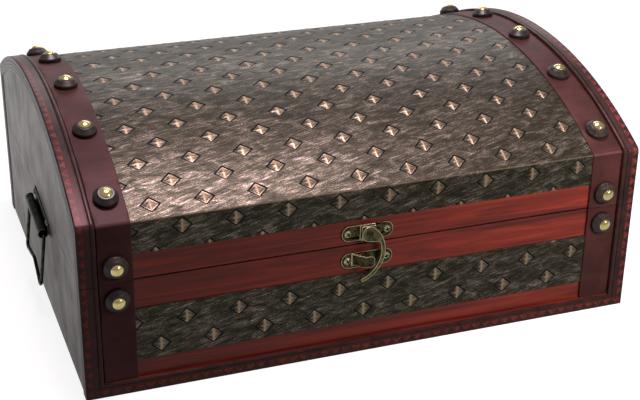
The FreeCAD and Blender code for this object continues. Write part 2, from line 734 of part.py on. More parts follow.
# The hook: a round hub and one bowed arm that narrows to a round tip
bow_x = "-sizes.hook_centre_left"
bow_z = "-sizes.hook_centre_drop"
crest = "sizes.hook_hub_radius / places.hook_reach"
tip_outer = (
    f"{bow_x} + places.hook_radius * cos(sizes.hook_tip_angle)",
    f"{bow_z} - places.hook_radius * sin(sizes.hook_tip_angle)",
)
tip_inner = (
    f"{bow_x} + (places.hook_radius - sizes.hook_arm_width) * cos(sizes.hook_tip_angle)",
    f"{bow_z} - (places.hook_radius - sizes.hook_arm_width) * sin(sizes.hook_tip_angle)",
)
tip_middle = (
    f"{bow_x} + (places.hook_radius - sizes.hook_arm_width / 2) * cos(sizes.hook_tip_angle)",
    f"{bow_z} - (places.hook_radius - sizes.hook_arm_width / 2) * sin(sizes.hook_tip_angle)",
)
inner_corner = ("sizes.hook_corner_right", "-sizes.hook_corner_drop")
root = (
    "sizes.hook_hub_radius * cos(sizes.hook_root_angle)",
    "-sizes.hook_hub_radius * sin(sizes.hook_root_angle)",
)
hook = extruded(
    "latch_hook", "XZ_Plane", "places.hook_back", "sizes.hook_thickness",
    [
        (f"sizes.hook_centre_left * {crest}", f"sizes.hook_centre_drop * {crest}"),
        tip_outer, tip_inner, inner_corner, root,
    ],
    {
        0: (bow_x, bow_z, -1),
        1: (*tip_middle, -1),
        2: ("sizes.hook_inner_radius", 1),
        4: ("0", "0", -1),
    },
    [("0", "0", rivet_hole)],
)
rounded(hook, "sizes.hook_corner_radius", edge_at(1, *inner_corner, "sizes.hook_play"))
place(hook, "-sizes.latch_offset", "-places.wood_face", "places.latch_pivot")
rivet = keep("latch_rivet", domed_pin(
    "latch_rivet", "sizes.rivet_shank_radius", "places.hook_front + sizes.hook_play",
    "sizes.rivet_head_radius", "sizes.rivet_head_height",
))
place(rivet, "-sizes.latch_offset", "-places.wood_face", "places.latch_pivot", along_x, "90")

# The lower plate has a tongue cut out of it, which slopes forward to a pad that the hook reaches under
lower_plate = latch_plate("latch_lower_plate", "places.latch_catch")
window = sketch_on(lower_plate, "XZ_Plane", "sizes.latch_plate_thickness")
root_x = "-sizes.tongue_left"
root_y = "-sizes.latch_plate_thickness"
root_inside = f"({root_x} + sizes.tongue_thickness / sin(places.tongue_slope))"
trace(window, rect(
    root_inside, "sizes.tongue_lift - sizes.tongue_slot_height / 2",
    f"{root_inside} + sizes.tongue_slot_width", "sizes.tongue_lift + sizes.tongue_slot_height / 2",
))
pocket(lower_plate, window, "sizes.latch_plate_thickness")
tongue = sketch_on(lower_plate, "XY_Plane", "sizes.tongue_lift - sizes.tongue_height / 2")
pad_x = f"({root_x} + sizes.tongue_run)"
pad_y = f"({root_y} - sizes.tongue_standoff)"
pad_end = f"({pad_x} + sizes.tongue_width)"
pad_inside = f"({pad_y} + sizes.tongue_thickness)"
bend_inside = f"({pad_x} + sizes.tongue_thickness * tan(places.tongue_slope / 2))"
trace(tongue, [
    (root_x, root_y), (pad_x, pad_y), (pad_end, pad_y), (pad_end, pad_inside),
    (bend_inside, pad_inside), (root_inside, root_y),
])
pad(lower_plate, tongue, "sizes.tongue_height")
edge_slack = "sizes.tongue_thickness / 4"
rounded(lower_plate, "sizes.tongue_bend_radius", edge_at(2, pad_x, pad_y, edge_slack))
inner_bend = "sizes.tongue_bend_radius - sizes.tongue_thickness"
rounded(lower_plate, inner_bend, edge_at(2, bend_inside, pad_inside, edge_slack))
pad_reach = number("sizes.tongue_thickness")
pad_middle = FreeCAD.Vector(number(pad_end), number(f"{pad_y} + sizes.tongue_thickness / 2"), 0)


def on_pad_corner(edge):
    middle = edge.CenterOfMass
    flat = FreeCAD.Vector(middle.x, middle.y, 0)
    return abs(edge.Length - pad_reach) < pad_reach / 4 and (flat - pad_middle).Length < pad_reach / 4


rounded(lower_plate, "sizes.tongue_corner_radius", on_pad_corner)

# Butt hinges: the base's leaf has the two outer knuckles, the lid's the middle one
for name, side in SIDES.items():
    half = "sizes.hinge_width / 2"
    corner = "sizes.hinge_leaf_corner"
    middle_half = "sizes.hinge_middle_length / 2"
    for part, rise in (("base", -1), ("lid", 1)):
        edge = f"{rise} * sizes.hinge_leaf_height"
        corner_edge = f"{rise} * (sizes.hinge_leaf_height - {corner})"
        root = f"{rise} * (places.hinge_radius + sizes.hinge_running_clearance)"
        inner = "places.hinge_side_length"
        outer_tabs = [
            (half, "0"), (f"{half} - {inner}", "0"), (f"{half} - {inner}", root),
            (f"-({half} - {inner})", root), (f"-({half} - {inner})", "0"), (f"-{half}", "0"),
        ]
        middle_tab = [
            (half, root), (middle_half, root), (middle_half, "0"),
            (f"-{middle_half}", "0"), (f"-{middle_half}", root), (f"-{half}", root),
        ]
        screw_height = f"{rise} * sizes.hinge_screw_drop"
        far_corners = [
            (f"-{half}", corner_edge), (f"-({half} - {corner})", edge),
            (f"{half} - {corner}", edge), (half, corner_edge),
        ]
        leaf = extruded(
            f"{name}_hinge_{part}_leaf", "XZ_Plane",
            "places.hinge_offset - sizes.hinge_leaf_thickness", "sizes.hinge_leaf_thickness",
            (outer_tabs if part == "base" else middle_tab) + far_corners,
            {6: (f"-({half} - {corner})", corner_edge, -rise), 8: (f"{half} - {corner}", corner_edge, -rise)},
            [(f"{sign} sizes.hinge_screw_reach", screw_height, screw_hole) for sign in "-+"],
        )
        starts = [f"-{half}", f"{half} - {inner}"] if part == "base" else [f"-{middle_half}"]
        for start in starts:
            knuckle = sketch_on(leaf, "YZ_Plane", start)
            ring(knuckle, "0", "0", "places.hinge_radius")
            ring(knuckle, "0", "0", "places.hinge_bore")
            pad(leaf, knuckle, inner if part == "base" else "sizes.hinge_middle_length")
        place(leaf, f"{side} * sizes.hinge_spread", "places.hinge_axis_out", "places.hinge_axis_height")
    pin_radius = "sizes.hinge_pin_radius"
    pin_end = f"({half} + sizes.hinge_pin_head)"
    pin = keep(f"{name}_hinge_pin", turned(
        f"{name}_hinge_pin",
        [
            ("0", "-" + pin_end), (pin_radius, f"-{half}"), (pin_radius, half), ("0", pin_end),
        ],
        {
            0: (f"({pin_radius} ^ 2 + sizes.hinge_pin_head ^ 2) / (2 * sizes.hinge_pin_head)", 1),
            2: (f"({pin_radius} ^ 2 + sizes.hinge_pin_head ^ 2) / (2 * sizes.hinge_pin_head)", 1),
        },
    ))
    place(
        pin, f"{side} * sizes.hinge_spread", "places.hinge_axis_out", "places.hinge_axis_height",
        along_y, "90",
    )

# Drop handles: a plate whose lower edge is rolled into a barrel, and a wire bail in the barrel
for name, side in SIDES.items():
    half = "sizes.handle_plate_width / 2"
    corner = "sizes.handle_plate_corner"
    top = "sizes.handle_plate_rise"
    plate = extruded(
        f"{name}_handle_plate", "YZ_Plane", "0", "sizes.handle_sheet",
        [
            (f"-{half}", "0"), (half, "0"), (half, f"{top} - {corner}"), (f"{half} - {corner}", top),
            (f"-({half} - {corner})", top), (f"-{half}", f"{top} - {corner}"),
        ],
        {
            2: (f"{half} - {corner}", f"{top} - {corner}", 1),
            4: (f"-({half} - {corner})", f"{top} - {corner}", 1),
        },
        [(f"{sign} sizes.handle_screw_reach", "sizes.handle_screw_rise", screw_hole) for sign in "-+"],
    )
    roll = sketch_on(plate, "XZ_Plane", "-sizes.handle_barrel_length / 2")
    radius = "sizes.handle_barrel_radius"
    inside = "places.barrel_inside"
    end_turn = "(180 + sizes.handle_roll_angle)"
    trace(
        roll,
        [
            ("0", "0"), (f"{radius} + {radius} * cos({end_turn})", f"{radius} * sin({end_turn})"),
            (f"{radius} + {inside} * cos({end_turn})", f"{inside} * sin({end_turn})"),
            ("sizes.handle_sheet", "0"),
        ],
        {0: (radius, "0", 1), 2: (radius, "0", -1)},
    )
    pad(plate, roll, "sizes.handle_barrel_length")
    tilt = FreeCAD.Rotation(FreeCAD.Vector(*along_x), number(handle_tilts[name]))
    turn = tilt * FreeCAD.Rotation(FreeCAD.Vector(0, 0, 1), 0 if side > 0 else 180)
    place(
        plate, f"{side} * places.end_face", *on_handle(name, "0", "0"),
        tuple(turn.Axis), str(math.degrees(turn.Angle)),
    )

    # Half of the wire, from inside the barrel to the raised middle of the lower bar, then its mirror
    bail = new_body(f"{name}_handle_bail")
    route = sketch_on(bail, "YZ_Plane")
    width = number("places.bail_half_width")
    drop = number("sizes.bail_drop")
    rise = number("sizes.bail_bow_rise")
    bend = number("sizes.bail_bend_radius")
    corner_bend = number("sizes.bail_corner_radius")
    bow = number("sizes.bail_bow_radius")
    first = number("sizes.bail_end_gap / 2")
    spot = FreeCAD.Vector
    slope = math.atan2(rise, width)
    bow_middle = spot(0, -drop + rise - bow, 0)
    bow_start = bow_middle + spot(math.sin(slope), math.cos(slope), 0) * bow
    corner_middle = spot(width - corner_bend, -drop + corner_bend, 0)
    corner_end = corner_middle - spot(math.sin(slope), math.cos(slope), 0) * corner_bend
    normal = spot(0, 0, 1)
    quarter = math.pi / 2
    route.addGeometry(Part.LineSegment(spot(first, 0, 0), spot(width - bend, 0, 0)), False)
    route.addGeometry(
        Part.ArcOfCircle(Part.Circle(spot(width - bend, -bend, 0), normal, bend), 0, quarter), False
    )
    route.addGeometry(Part.LineSegment(spot(width, -bend, 0), spot(width, corner_middle.y, 0)), False)
    route.addGeometry(
        Part.ArcOfCircle(Part.Circle(corner_middle, normal, corner_bend), -quarter - slope, 0), False
    )
    route.addGeometry(Part.LineSegment(corner_end, bow_start), False)
    route.addGeometry(
        Part.ArcOfCircle(Part.Circle(bow_middle, normal, bow), quarter - slope, quarter), False
    )
    for pair in ((0, 2, 1, 2), (1, 1, 2, 1), (2, 2, 3, 2), (3, 1, 4, 1), (4, 2, 5, 1)):
        route.addConstraint(Sketcher.Constraint("Tangent", *pair))
    route.addConstraint(Sketcher.Constraint("Horizontal", 0))
    route.addConstraint(Sketcher.Constraint("Vertical", 2))
    bind(route, "sizes.bail_end_gap / 2", "DistanceX", -1, 1, 0, 1)
    bind(route, "0", "DistanceY", -1, 1, 0, 1)
    bind(route, "sizes.bail_bend_radius", "Radius", 1)
    bind(route, "places.bail_half_width", "DistanceX", -1, 1, 2, 1)
    bind(route, "sizes.bail_corner_radius", "Radius", 3)
    bind(route, "sizes.bail_corner_radius - sizes.bail_drop", "DistanceY", -1, 1, 3, 3)
    bind(route, "sizes.bail_bow_radius", "Radius", 5)
    bind(route, "0", "DistanceX", -1, 1, 5, 3)
    bind(route, "0", "DistanceX", -1, 1, 5, 2)
    bind(route, "sizes.bail_bow_rise - sizes.bail_drop", "DistanceY", -1, 1, 5, 2)
    section = sketch_on(bail, "XZ_Plane", "-sizes.bail_end_gap / 2")
    ring(section, "0", "0", "sizes.bail_wire_radius")
    doc.recompute()
    wire = bail.newObject("PartDesign::AdditivePipe", "Pipe")
    wire.Profile = section
    wire.Spine = route
    doc.recompute()
    other = bail.newObject("PartDesign::Mirrored", "Mirrored")
    other.Originals = [wire]
    other.MirrorPlane = ([item for item in bail.Origin.OriginFeatures if item.Role == "XZ_Plane"][0], [""])
    bail.Tip = other
    doc.recompute()
    wanted = 2 * route.Shape.Length * math.pi * number("sizes.bail_wire_radius") ** 2
    if abs(bail.Shape.Volume - wanted) > wanted / 100:
        raise RuntimeError(f"{name} bail: volume {bail.Shape.Volume} for {wanted}")
    lean = tilt * FreeCAD.Rotation(FreeCAD.Vector(*along_y), -side * number("sizes.bail_lean"))
    place(
        bail, f"{side} * (places.end_face + sizes.handle_barrel_radius)",
        *on_handle(name, "0", "-places.bail_sag"), tuple(lean.Axis), str(math.degrees(lean.Angle)),
    )

# Every object has to be whole before anything is written
doc.recompute()
for item in doc.Objects:
    if any(word in item.State for word in ("Invalid", "Error")):
        raise RuntimeError(f"{item.Label} failed: {item.State}")
for label, piece in nodes.items():
    if piece.Shape.isNull() or not piece.Shape.isValid() or not piece.Shape.Solids:
        raise RuntimeError(f"{label} has no valid solid")

os.makedirs("parts", exist_ok=True)
for label, piece in nodes.items():
    piece.Shape.exportStep(f"parts/{label}.step")
print(f"{len(nodes)} nodes, {sum(len(piece.Shape.Solids) for piece in nodes.values())} solids")
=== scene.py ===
import math
from functools import partial

import bmesh
import bpy
from mathutils import Matrix, Vector


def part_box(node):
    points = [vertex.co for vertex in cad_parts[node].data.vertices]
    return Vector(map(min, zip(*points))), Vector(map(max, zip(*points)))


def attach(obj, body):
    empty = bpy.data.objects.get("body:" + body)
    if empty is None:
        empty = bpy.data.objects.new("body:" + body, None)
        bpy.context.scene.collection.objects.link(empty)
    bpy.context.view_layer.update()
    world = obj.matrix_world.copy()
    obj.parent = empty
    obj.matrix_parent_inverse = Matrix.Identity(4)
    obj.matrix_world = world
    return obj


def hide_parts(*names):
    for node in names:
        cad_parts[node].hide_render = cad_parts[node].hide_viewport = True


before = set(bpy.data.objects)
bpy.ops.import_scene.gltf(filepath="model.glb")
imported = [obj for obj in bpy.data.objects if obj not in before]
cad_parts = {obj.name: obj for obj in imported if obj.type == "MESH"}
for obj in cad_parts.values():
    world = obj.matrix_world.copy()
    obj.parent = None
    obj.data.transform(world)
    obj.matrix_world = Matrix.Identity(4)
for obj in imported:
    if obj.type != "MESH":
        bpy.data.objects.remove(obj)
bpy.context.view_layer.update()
mm = 0.001
print("frame loaded:", len(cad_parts), "nodes")

# Places of the chest, read from the frame. -Y is the front.
rimLow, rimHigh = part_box("lid_right_binding")
strapLow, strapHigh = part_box("lid_right_strap")
sheetLow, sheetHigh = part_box("lid_embossed_sheet")
baseSheetLow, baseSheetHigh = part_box("base_front_embossed_sheet")
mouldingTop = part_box("front_moulding")[1].z
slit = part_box("base_front_board")[1].z
woodFace = -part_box("base_front_board")[0].y
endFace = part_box("base_right_end_cover")[1].x
halfWidth, halfDepth, crown = rimHigh
rimInside, lidFoot = rimLow.x, rimLow.z
springHeight = 111 * mm  # here the rims start to arch
archRise = crown - springHeight
archRadius = (halfDepth ** 2 + archRise ** 2) / (2 * archRise)
archCentre = crown - archRadius
woodDepth = halfDepth - woodFace  # wood below the faces of the rims
bindingThickness = halfWidth - endFace
rimCorner = 5 * mm
sides = {"left": -1, "right": 1}
faces = {"front": -1, "back": 1}


# The lid seen from the end: a bend of that radius joins front and arch at that depth below the rim.
# Gives the place of a point a distance along from the crown and a height over that depth.
def lidPath(depth, bend):
    bendDepth = depth + bend
    reach = halfDepth - bendDepth
    turn = math.asin(reach / (archRadius - bendDepth))
    archHalf = (archRadius - depth) * turn
    bendLength = bend * (math.pi / 2 - turn)
    bendZ = archCentre + (archRadius - bendDepth) * math.cos(turn)

    def at(along, height):
        face = -1 if along < 0 else 1
        way = abs(along)
        radius = archRadius - depth + height
        out = halfDepth - depth + height
        below = bendZ - (way - archHalf - bendLength)
        if height < -bend:  # inside the bend's middle the corner is sharp
            corner = math.asin(out / radius)
            if way < archHalf + bendLength / 2:
                angle = min(way / (archRadius - depth), corner)
                return face * radius * math.sin(angle), archCentre + radius * math.cos(angle)
            return face * out, min(below, archCentre + radius * math.cos(corner))
        if way <= archHalf:
            angle = way / (archRadius - depth)
            return face * radius * math.sin(angle), archCentre + radius * math.cos(angle)
        if way <= archHalf + bendLength:
            angle = turn + (way - archHalf) / bend
            arm = bend + height
            return face * (reach + arm * math.sin(angle)), bendZ + arm * math.cos(angle)
        return face * out, below

    return at, archHalf, bendLength, archHalf + bendLength + bendZ


def evenly(start, end, step):
    count = max(1, round((end - start) / step))
    return [start + (end - start) * i / count for i in range(count + 1)]


# From a node's name to that of the piece that stands for it
def pieceName(node):
    first, *others = node.split("_")
    return first + "".join(word.title() for word in others)


# Small tools of the bench, and how near two places count as one
near = dict(cut=0.0005 * mm, node=0.001 * mm, weld=0.002 * mm, line=0.01 * mm, lattice=0.1 * mm)


def editAlone(obj):
    bpy.ops.object.select_all(action="DESELECT")
    obj.select_set(True)
    bpy.context.view_layer.objects.active = obj
    bpy.ops.object.mode_set(mode="EDIT")
    bpy.ops.mesh.select_all(action="SELECT")


def choose(obj, kind, test):
    modes = [kind == word for word in ("verts", "edges", "faces")]
    bpy.context.tool_settings.mesh_select_mode = modes
    bpy.ops.mesh.select_all(action="DESELECT")
    shape = bmesh.from_edit_mesh(obj.data)
    for part in getattr(shape, kind):
        if test(part):
            part.select_set(True)
    bmesh.update_edit_mesh(obj.data)


def cut(obj, spot, normal, drop=False):
    bpy.ops.mesh.select_all(action="SELECT")
    bpy.ops.mesh.bisect(
        plane_co=spot, plane_no=normal, clear_outer=drop, use_fill=drop, threshold=near["cut"],
    )


def tidyMesh(obj, smoothAngle):
    editAlone(obj)
    bpy.ops.mesh.remove_doubles(threshold=near["weld"])
    bpy.ops.mesh.dissolve_degenerate(threshold=near["weld"])
    bpy.ops.mesh.select_all(action="SELECT")
    bpy.ops.mesh.normals_make_consistent(inside=False)
    bpy.ops.object.mode_set(mode="OBJECT")
    bpy.ops.object.shade_smooth_by_angle(angle=math.radians(smoothAngle))


# A flat closed slab with its faces between the given lines, ready to be shaped
def flatSlab(name, columns, rows, thickness):
    bpy.ops.object.select_all(action="DESELECT")
    bpy.ops.mesh.primitive_grid_add(x_subdivisions=len(columns) - 1, y_subdivisions=len(rows) - 1, size=2)
    slab = bpy.context.object
    slab.name = slab.data.name = name
    for vert in slab.data.vertices:
        column = round((vert.co.x + 1) / 2 * (len(columns) - 1))
        row = round((vert.co.y + 1) / 2 * (len(rows) - 1))
        vert.co = columns[column], rows[row], 0
    editAlone(slab)
    bpy.ops.mesh.extrude_region_move(TRANSFORM_OT_translate={"value": (0, 0, thickness)})
    return slab


# Lays a flat piece on the chest and keeps its flat places for the materials
def layOn(obj, place, smoothAngle):
    if obj.mode == "EDIT":
        bpy.ops.object.mode_set(mode="OBJECT")
    flat = obj.data.attributes.new("flatPlace", "FLOAT_VECTOR", "POINT")
    for vert in obj.data.vertices:
        flat.data[vert.index].vector = vert.co
    for vert in obj.data.vertices:
        vert.co = place(*vert.co)
    tidyMesh(obj, smoothAngle)


# A lathe turns an outline of (radius, height) about Z
def lathe(name, outline, steps):
    bpy.ops.object.select_all(action="DESELECT")
    bpy.ops.mesh.primitive_plane_add(size=mm)
    turned = bpy.context.object
    turned.name = turned.data.name = name
    editAlone(turned)
    bpy.ops.mesh.delete(type="VERT")
    shape = bmesh.from_edit_mesh(turned.data)
    points = [shape.verts.new((radius, 0, height)) for radius, height in outline]
    for first, second in zip(points, points[1:]):
        shape.edges.new((first, second))
    bmesh.update_edit_mesh(turned.data)
    bpy.ops.mesh.select_all(action="SELECT")
    bpy.ops.mesh.spin(steps=steps, angle=2 * math.pi, center=(0, 0, 0), axis=(0, 0, 1))
    bpy.ops.object.mode_set(mode="OBJECT")
    return turned


def roundOff(middle, radius, start, end, steps):
    turns = [math.radians(start + (end - start) * i / steps) for i in range(steps + 1)]
    return [(middle[0] + radius * math.cos(t), middle[1] + radius * math.sin(t)) for t in turns]


# Copies of one pattern at the given places, each with its own mesh, joined as one piece
def copiesOf(name, pattern, places):
    made = []
    for place in places:
        copy = bpy.data.objects.new(name, pattern.data.copy())
        bpy.context.collection.objects.link(copy)
        copy.data.transform(place)
        made.append(copy)
    bpy.ops.object.select_all(action="DESELECT")
    for copy in made:
        copy.select_set(True)
    bpy.context.view_layer.objects.active = made[0]
    bpy.ops.object.join()
    made[0].name = made[0].data.name = name
    return made[0]


# A copy of a CAD node whose chosen sharp edges are eased, with the eased faces in a second slot
def easedCopy(node, name, width, materials, steps=2, test=None, sharp=35):
    copy = bpy.data.objects.new(name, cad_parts[node].data.copy())
    bpy.context.collection.objects.link(copy)
    copy.data.materials.clear()
    for material in materials:
        copy.data.materials.append(material)
    editAlone(copy)
    bpy.ops.mesh.remove_doubles(threshold=near["node"])
    bpy.ops.mesh.dissolve_limited(angle_limit=math.radians(0.5))
    limit = math.radians(sharp)
    choose(copy, "edges", lambda edge: (
        edge.is_manifold and edge.calc_face_angle(0) > limit and (test is None or test(edge))
    ))
    bpy.ops.mesh.bevel(offset=width, offset_type="OFFSET", segments=steps, affect="EDGES", material=1)
    bpy.ops.object.mode_set(mode="OBJECT")
    tidyMesh(copy, 30)
    level = copy.modifiers.new("level", "WEIGHTED_NORMAL")  # keeps the large faces flat
    level.keep_sharp = True
    bpy.ops.object.modifier_apply(modifier="level")
    return copy


def seat(piece, body, slot, materials, *nodes):
    for material in materials[len(piece.data.materials):]:
        piece.data.materials.append(material)
    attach(piece, body)
    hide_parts(*nodes)


# Colours are written as sRGB hex and turned to linear
def ink(code):
    parts = [int(code[i:i + 2], 16) / 255 for i in (1, 3, 5)]
    return tuple(c / 12.92 if c <= 0.04045 else ((c + 0.055) / 1.055) ** 2.4 for c in parts) + (1,)


# Adds a node with its settings, its colour stops and what its sockets hold or take, and gives its outputs
def addNode(tree, kind, sockets=None, stops=None, **settings):
    node = tree.nodes.new("ShaderNode" + kind)
    for key, value in settings.items():
        setattr(node, key, value)
    for place, colour in stops or ():
        ramp = node.color_ramp.elements
        used = place == stops[0][0] or place == stops[-1][0]
        stop = ramp[0 if place == stops[0][0] else -1] if used else ramp.new(place)
        stop.position = place
        stop.color = ink(colour) if isinstance(colour, str) else (colour, colour, colour, 1)
    for key, value in (sockets or {}).items():
        if isinstance(value, bpy.types.NodeSocket):
            tree.links.new(value, node.inputs[key])
        else:
            node.inputs[key].default_value = value
    return node.outputs


# The scale of a pattern that is long along X and narrow across it
def stretch(length, width):
    return 1 / length, 1 / width, 1 / width


def newMaterial(name):
    material = bpy.data.materials.new(name)
    material.use_nodes = True
    material.node_tree.nodes.clear()
    return material, partial(addNode, material.node_tree)


def endMaterial(add, sockets):
    shader = add("BsdfPrincipled", sockets)
    add("OutputMaterial", {"Surface": shader[0]})


# Embossed sheet, rubbed with bronze: metallic and dark, with crisp pale scratches and flecks,
# black painted shade in the grooves round the diamonds, on their left facets and upper lips,
# and gold where their ridges are worn, with painted highlights on the ridges, lower lips and folds
def embossedLeather():
    look = dict(
        scratch=9 * mm, scratchWidth=0.6 * mm, scratchTurn=-16, drag=12 * mm, dragWidth=5 * mm,
        fleck=0.9 * mm, grain=0.5 * mm, scratchShare=0.34, patchShare=0.34, fleckShare=0.32,
        # gold is worn gilt mixed with painted highlight, groove is the black of the painted shade
        gold="#bda387", groove="#0a0908",
    )
    material, add = newMaterial("embossedBronzedLeather")
    flat = add("Attribute", attribute_name="flatPlace")["Vector"]
    wear = add("Attribute", attribute_name="wear")["Fac"]
    turned = add("Mapping", {"Vector": flat, "Rotation": (0, 0, math.radians(look["scratchTurn"]))})[0]
    scratchSize = stretch(look["scratch"], look["scratchWidth"])
    scratchWay = add("Mapping", {"Vector": turned, "Scale": scratchSize})[0]
    scratches = add("TexNoise", {
        "Vector": scratchWay, "Scale": 1, "Detail": 3, "Roughness": 0.6, "Distortion": 0.4,
    })["Fac"]
    dragWay = add("Mapping", {"Vector": flat, "Scale": stretch(look["drag"], look["dragWidth"])})[0]
    patches = add("TexNoise", {
        "Vector": dragWay, "Scale": 1, "Detail": 5, "Roughness": 0.62, "Distortion": 1.0,
    })["Fac"]
    flecks = add("TexNoise", {
        "Vector": flat, "Scale": 1 / look["fleck"], "Detail": 3, "Roughness": 0.75,
    })["Fac"]
    rubbed = add("Math", {0: scratches, 1: look["scratchShare"]}, operation="MULTIPLY")[0]
    for marks, share in ((patches, look["patchShare"]), (flecks, look["fleckShare"])):
        rubbed = add("Math", {0: marks, 1: share, 2: rubbed}, operation="MULTIPLY_ADD")[0]
    ground = add("ValToRGB", {"Fac": rubbed}, stops=[
        (0.36, "#191811"), (0.46, "#2e2b22"), (0.53, "#4d473a"), (0.60, "#867a70"), (0.69, "#dcced0"),
    ])["Color"]
    # gold share: worn gilt with painted highlight on ridges, lower lips and folds; black share (sunk):
    # painted shade in grooves, left facets and upper lips
    giltAndPaintedHighlight = add("Math", {0: wear, 1: 1}, operation="MULTIPLY", use_clamp=True)[0]
    sunk = add("Math", {0: wear, 1: -1}, operation="MULTIPLY", use_clamp=True)[0]
    colour = ground
    for share, code in ((giltAndPaintedHighlight, look["gold"]), (sunk, look["groove"])):
        colour = add("Mix", {0: share, 6: colour, 7: ink(code)}, data_type="RGBA")[2]
    roughness = add("MapRange", {
        "Value": rubbed, "From Min": 0.4, "From Max": 0.65, "To Min": 0.46, "To Max": 0.36,
    })[0]
    metal = add("MapRange", {"Value": sunk, "To Min": 0.8, "To Max": 0.1})[0]
    grain = add("TexNoise", {"Vector": flat, "Scale": 1 / look["grain"], "Detail": 2})["Fac"]
    relief = add("Math", {0: scratches, 1: 2.0, 2: grain}, operation="MULTIPLY_ADD")[0]
    bump = add("Bump", {"Height": relief, "Strength": 0.4, "Distance": 0.1 * mm})[0]
    endMaterial(add, {
        "Base Color": colour, "Roughness": roughness, "Metallic": metal, "Normal": bump, "IOR": 1.45,
    })
    return material


# Red-stained softwood under satin varnish: grain along the board, dark pores and a few knots
def stainedWood(name, dark, middle, light, coat, shine):
    look = dict(grainLength=120 * mm, grainWidth=5 * mm, pore=0.5 * mm, poreLength=9 * mm, knot=26 * mm)
    material, add = newMaterial(name)
    place = add("TexCoord")["Object"]
    grainSize = stretch(look["grainLength"], look["grainWidth"])
    grainWay = add("Mapping", {"Vector": place, "Scale": grainSize})[0]
    grain = add("TexNoise", {
        "Vector": grainWay, "Scale": 1, "Detail": 5, "Roughness": 0.6, "Distortion": 1.2,
    })["Fac"]
    poreWay = add("Mapping", {"Vector": place, "Scale": stretch(look["poreLength"], look["pore"])})[0]
    pores = add("TexNoise", {"Vector": poreWay, "Scale": 1, "Detail": 2})["Fac"]
    knots = add("TexVoronoi", {"Vector": place, "Scale": 1 / look["knot"], "Randomness": 1.0})["Distance"]
    knotMask = add("MapRange", {
        "Value": knots, "From Min": 0.02, "From Max": 0.05, "To Min": 0.85, "To Max": 0.0,
    })[0]
    tone = add("ValToRGB", {"Fac": grain}, stops=[(0.3, dark), (0.48, middle), (0.68, light)])["Color"]
    poreMask = add("MapRange", {
        "Value": pores, "From Min": 0.58, "From Max": 0.75, "To Min": 0.0, "To Max": 0.3,
    })[0]
    marks = add("Math", {0: poreMask, 1: knotMask}, operation="MAXIMUM")[0]
    colour = add("Mix", {0: marks, 6: tone, 7: ink("#220d09")}, data_type="RGBA")[2]
    bump = add("Bump", {"Height": pores, "Strength": 0.2, "Distance": 0.05 * mm})[0]
    endMaterial(add, {
        "Base Color": colour, "Roughness": 0.42, "Normal": bump, "Coat Weight": coat,
        "Coat Roughness": 0.25, "IOR": 1.5, "Specular IOR Level": shine,
    })
    return material


# Smooth dyed strap leather: red-brown, mottled by the dye, paler where it is bent over an edge
def strapLeather(name, dark, light, rub):
    look = dict(mottle=26 * mm, drag=30 * mm, dragWidth=3 * mm, pore=0.9 * mm)
    material, add = newMaterial(name)
    flat = add("Attribute", attribute_name="flatPlace")["Vector"]
    wear = add("Attribute", attribute_name="wear")["Fac"]
    mottle = add("TexNoise", {
        "Vector": flat, "Scale": 1 / look["mottle"], "Detail": 4, "Roughness": 0.55,
    })["Fac"]
    across = add("Mapping", {"Vector": flat, "Scale": stretch(look["drag"], look["dragWidth"])})[0]
    drag = add("TexNoise", {"Vector": across, "Scale": 1, "Detail": 4})["Fac"]
    dye = add("Math", {0: drag, 1: 0.35, 2: mottle}, operation="MULTIPLY_ADD")[0]
    tone = add("ValToRGB", {"Fac": dye}, stops=[(0.5, dark), (0.85, light)])["Color"]
    colour = add("Mix", {0: wear, 6: tone, 7: ink(rub)}, data_type="RGBA")[2]
    pores = add("TexVoronoi", {"Vector": flat, "Scale": 1 / look["pore"]})["Distance"]
    bump = add("Bump", {"Height": pores, "Strength": 0.15, "Distance": 0.06 * mm})[0]
    endMaterial(add, {
        "Base Color": colour, "Roughness": 0.52, "Normal": bump, "IOR": 1.5,
        "Specular IOR Level": 0.26, "Specular Tint": ink("#ecc8c6"),
    })
    return material


# Split leather on the ends: dark and satin, with faint upright rub marks
def endLeather():
    look = dict(rubLength=30 * mm, rubWidth=9 * mm, pore=1.1 * mm, mottle=26 * mm)
    material, add = newMaterial("satinSplitLeather")
    place = add("TexCoord")["Object"]
    upright = add("Mapping", {
        "Vector": place, "Scale": (1 / look["rubWidth"], 1 / look["rubWidth"], 1 / look["rubLength"]),
    })[0]
    rub = add("TexNoise", {"Vector": upright, "Scale": 1, "Detail": 5})["Fac"]
    mottle = add("TexNoise", {
        "Vector": place, "Scale": 1 / look["mottle"], "Detail": 5, "Roughness": 0.6,
    })["Fac"]
    mixed = add("Math", {0: rub, 1: 0.4, 2: mottle}, operation="MULTIPLY_ADD")[0]
    colour = add("ValToRGB", {"Fac": mixed}, stops=[(0.5, "#2a1f1e"), (0.9, "#75625c")])["Color"]
    pores = add("TexVoronoi", {"Vector": place, "Scale": 1 / look["pore"]})["Distance"]
    relief = add("Math", {0: rub, 1: 0.8, 2: pores}, operation="MULTIPLY_ADD")[0]
    bump = add("Bump", {"Height": relief, "Strength": 0.2, "Distance": 0.08 * mm})[0]
    gloss = add("MapRange", {
        "Value": mixed, "From Min": 0.5, "From Max": 0.9, "To Min": 0.5, "To Max": 0.36,
    })[0]
    endMaterial(add, {
        "Base Color": colour, "Roughness": gloss, "Normal": bump, "IOR": 1.5,
        "Specular Tint": ink("#f0d6d2"),
    })
    return material


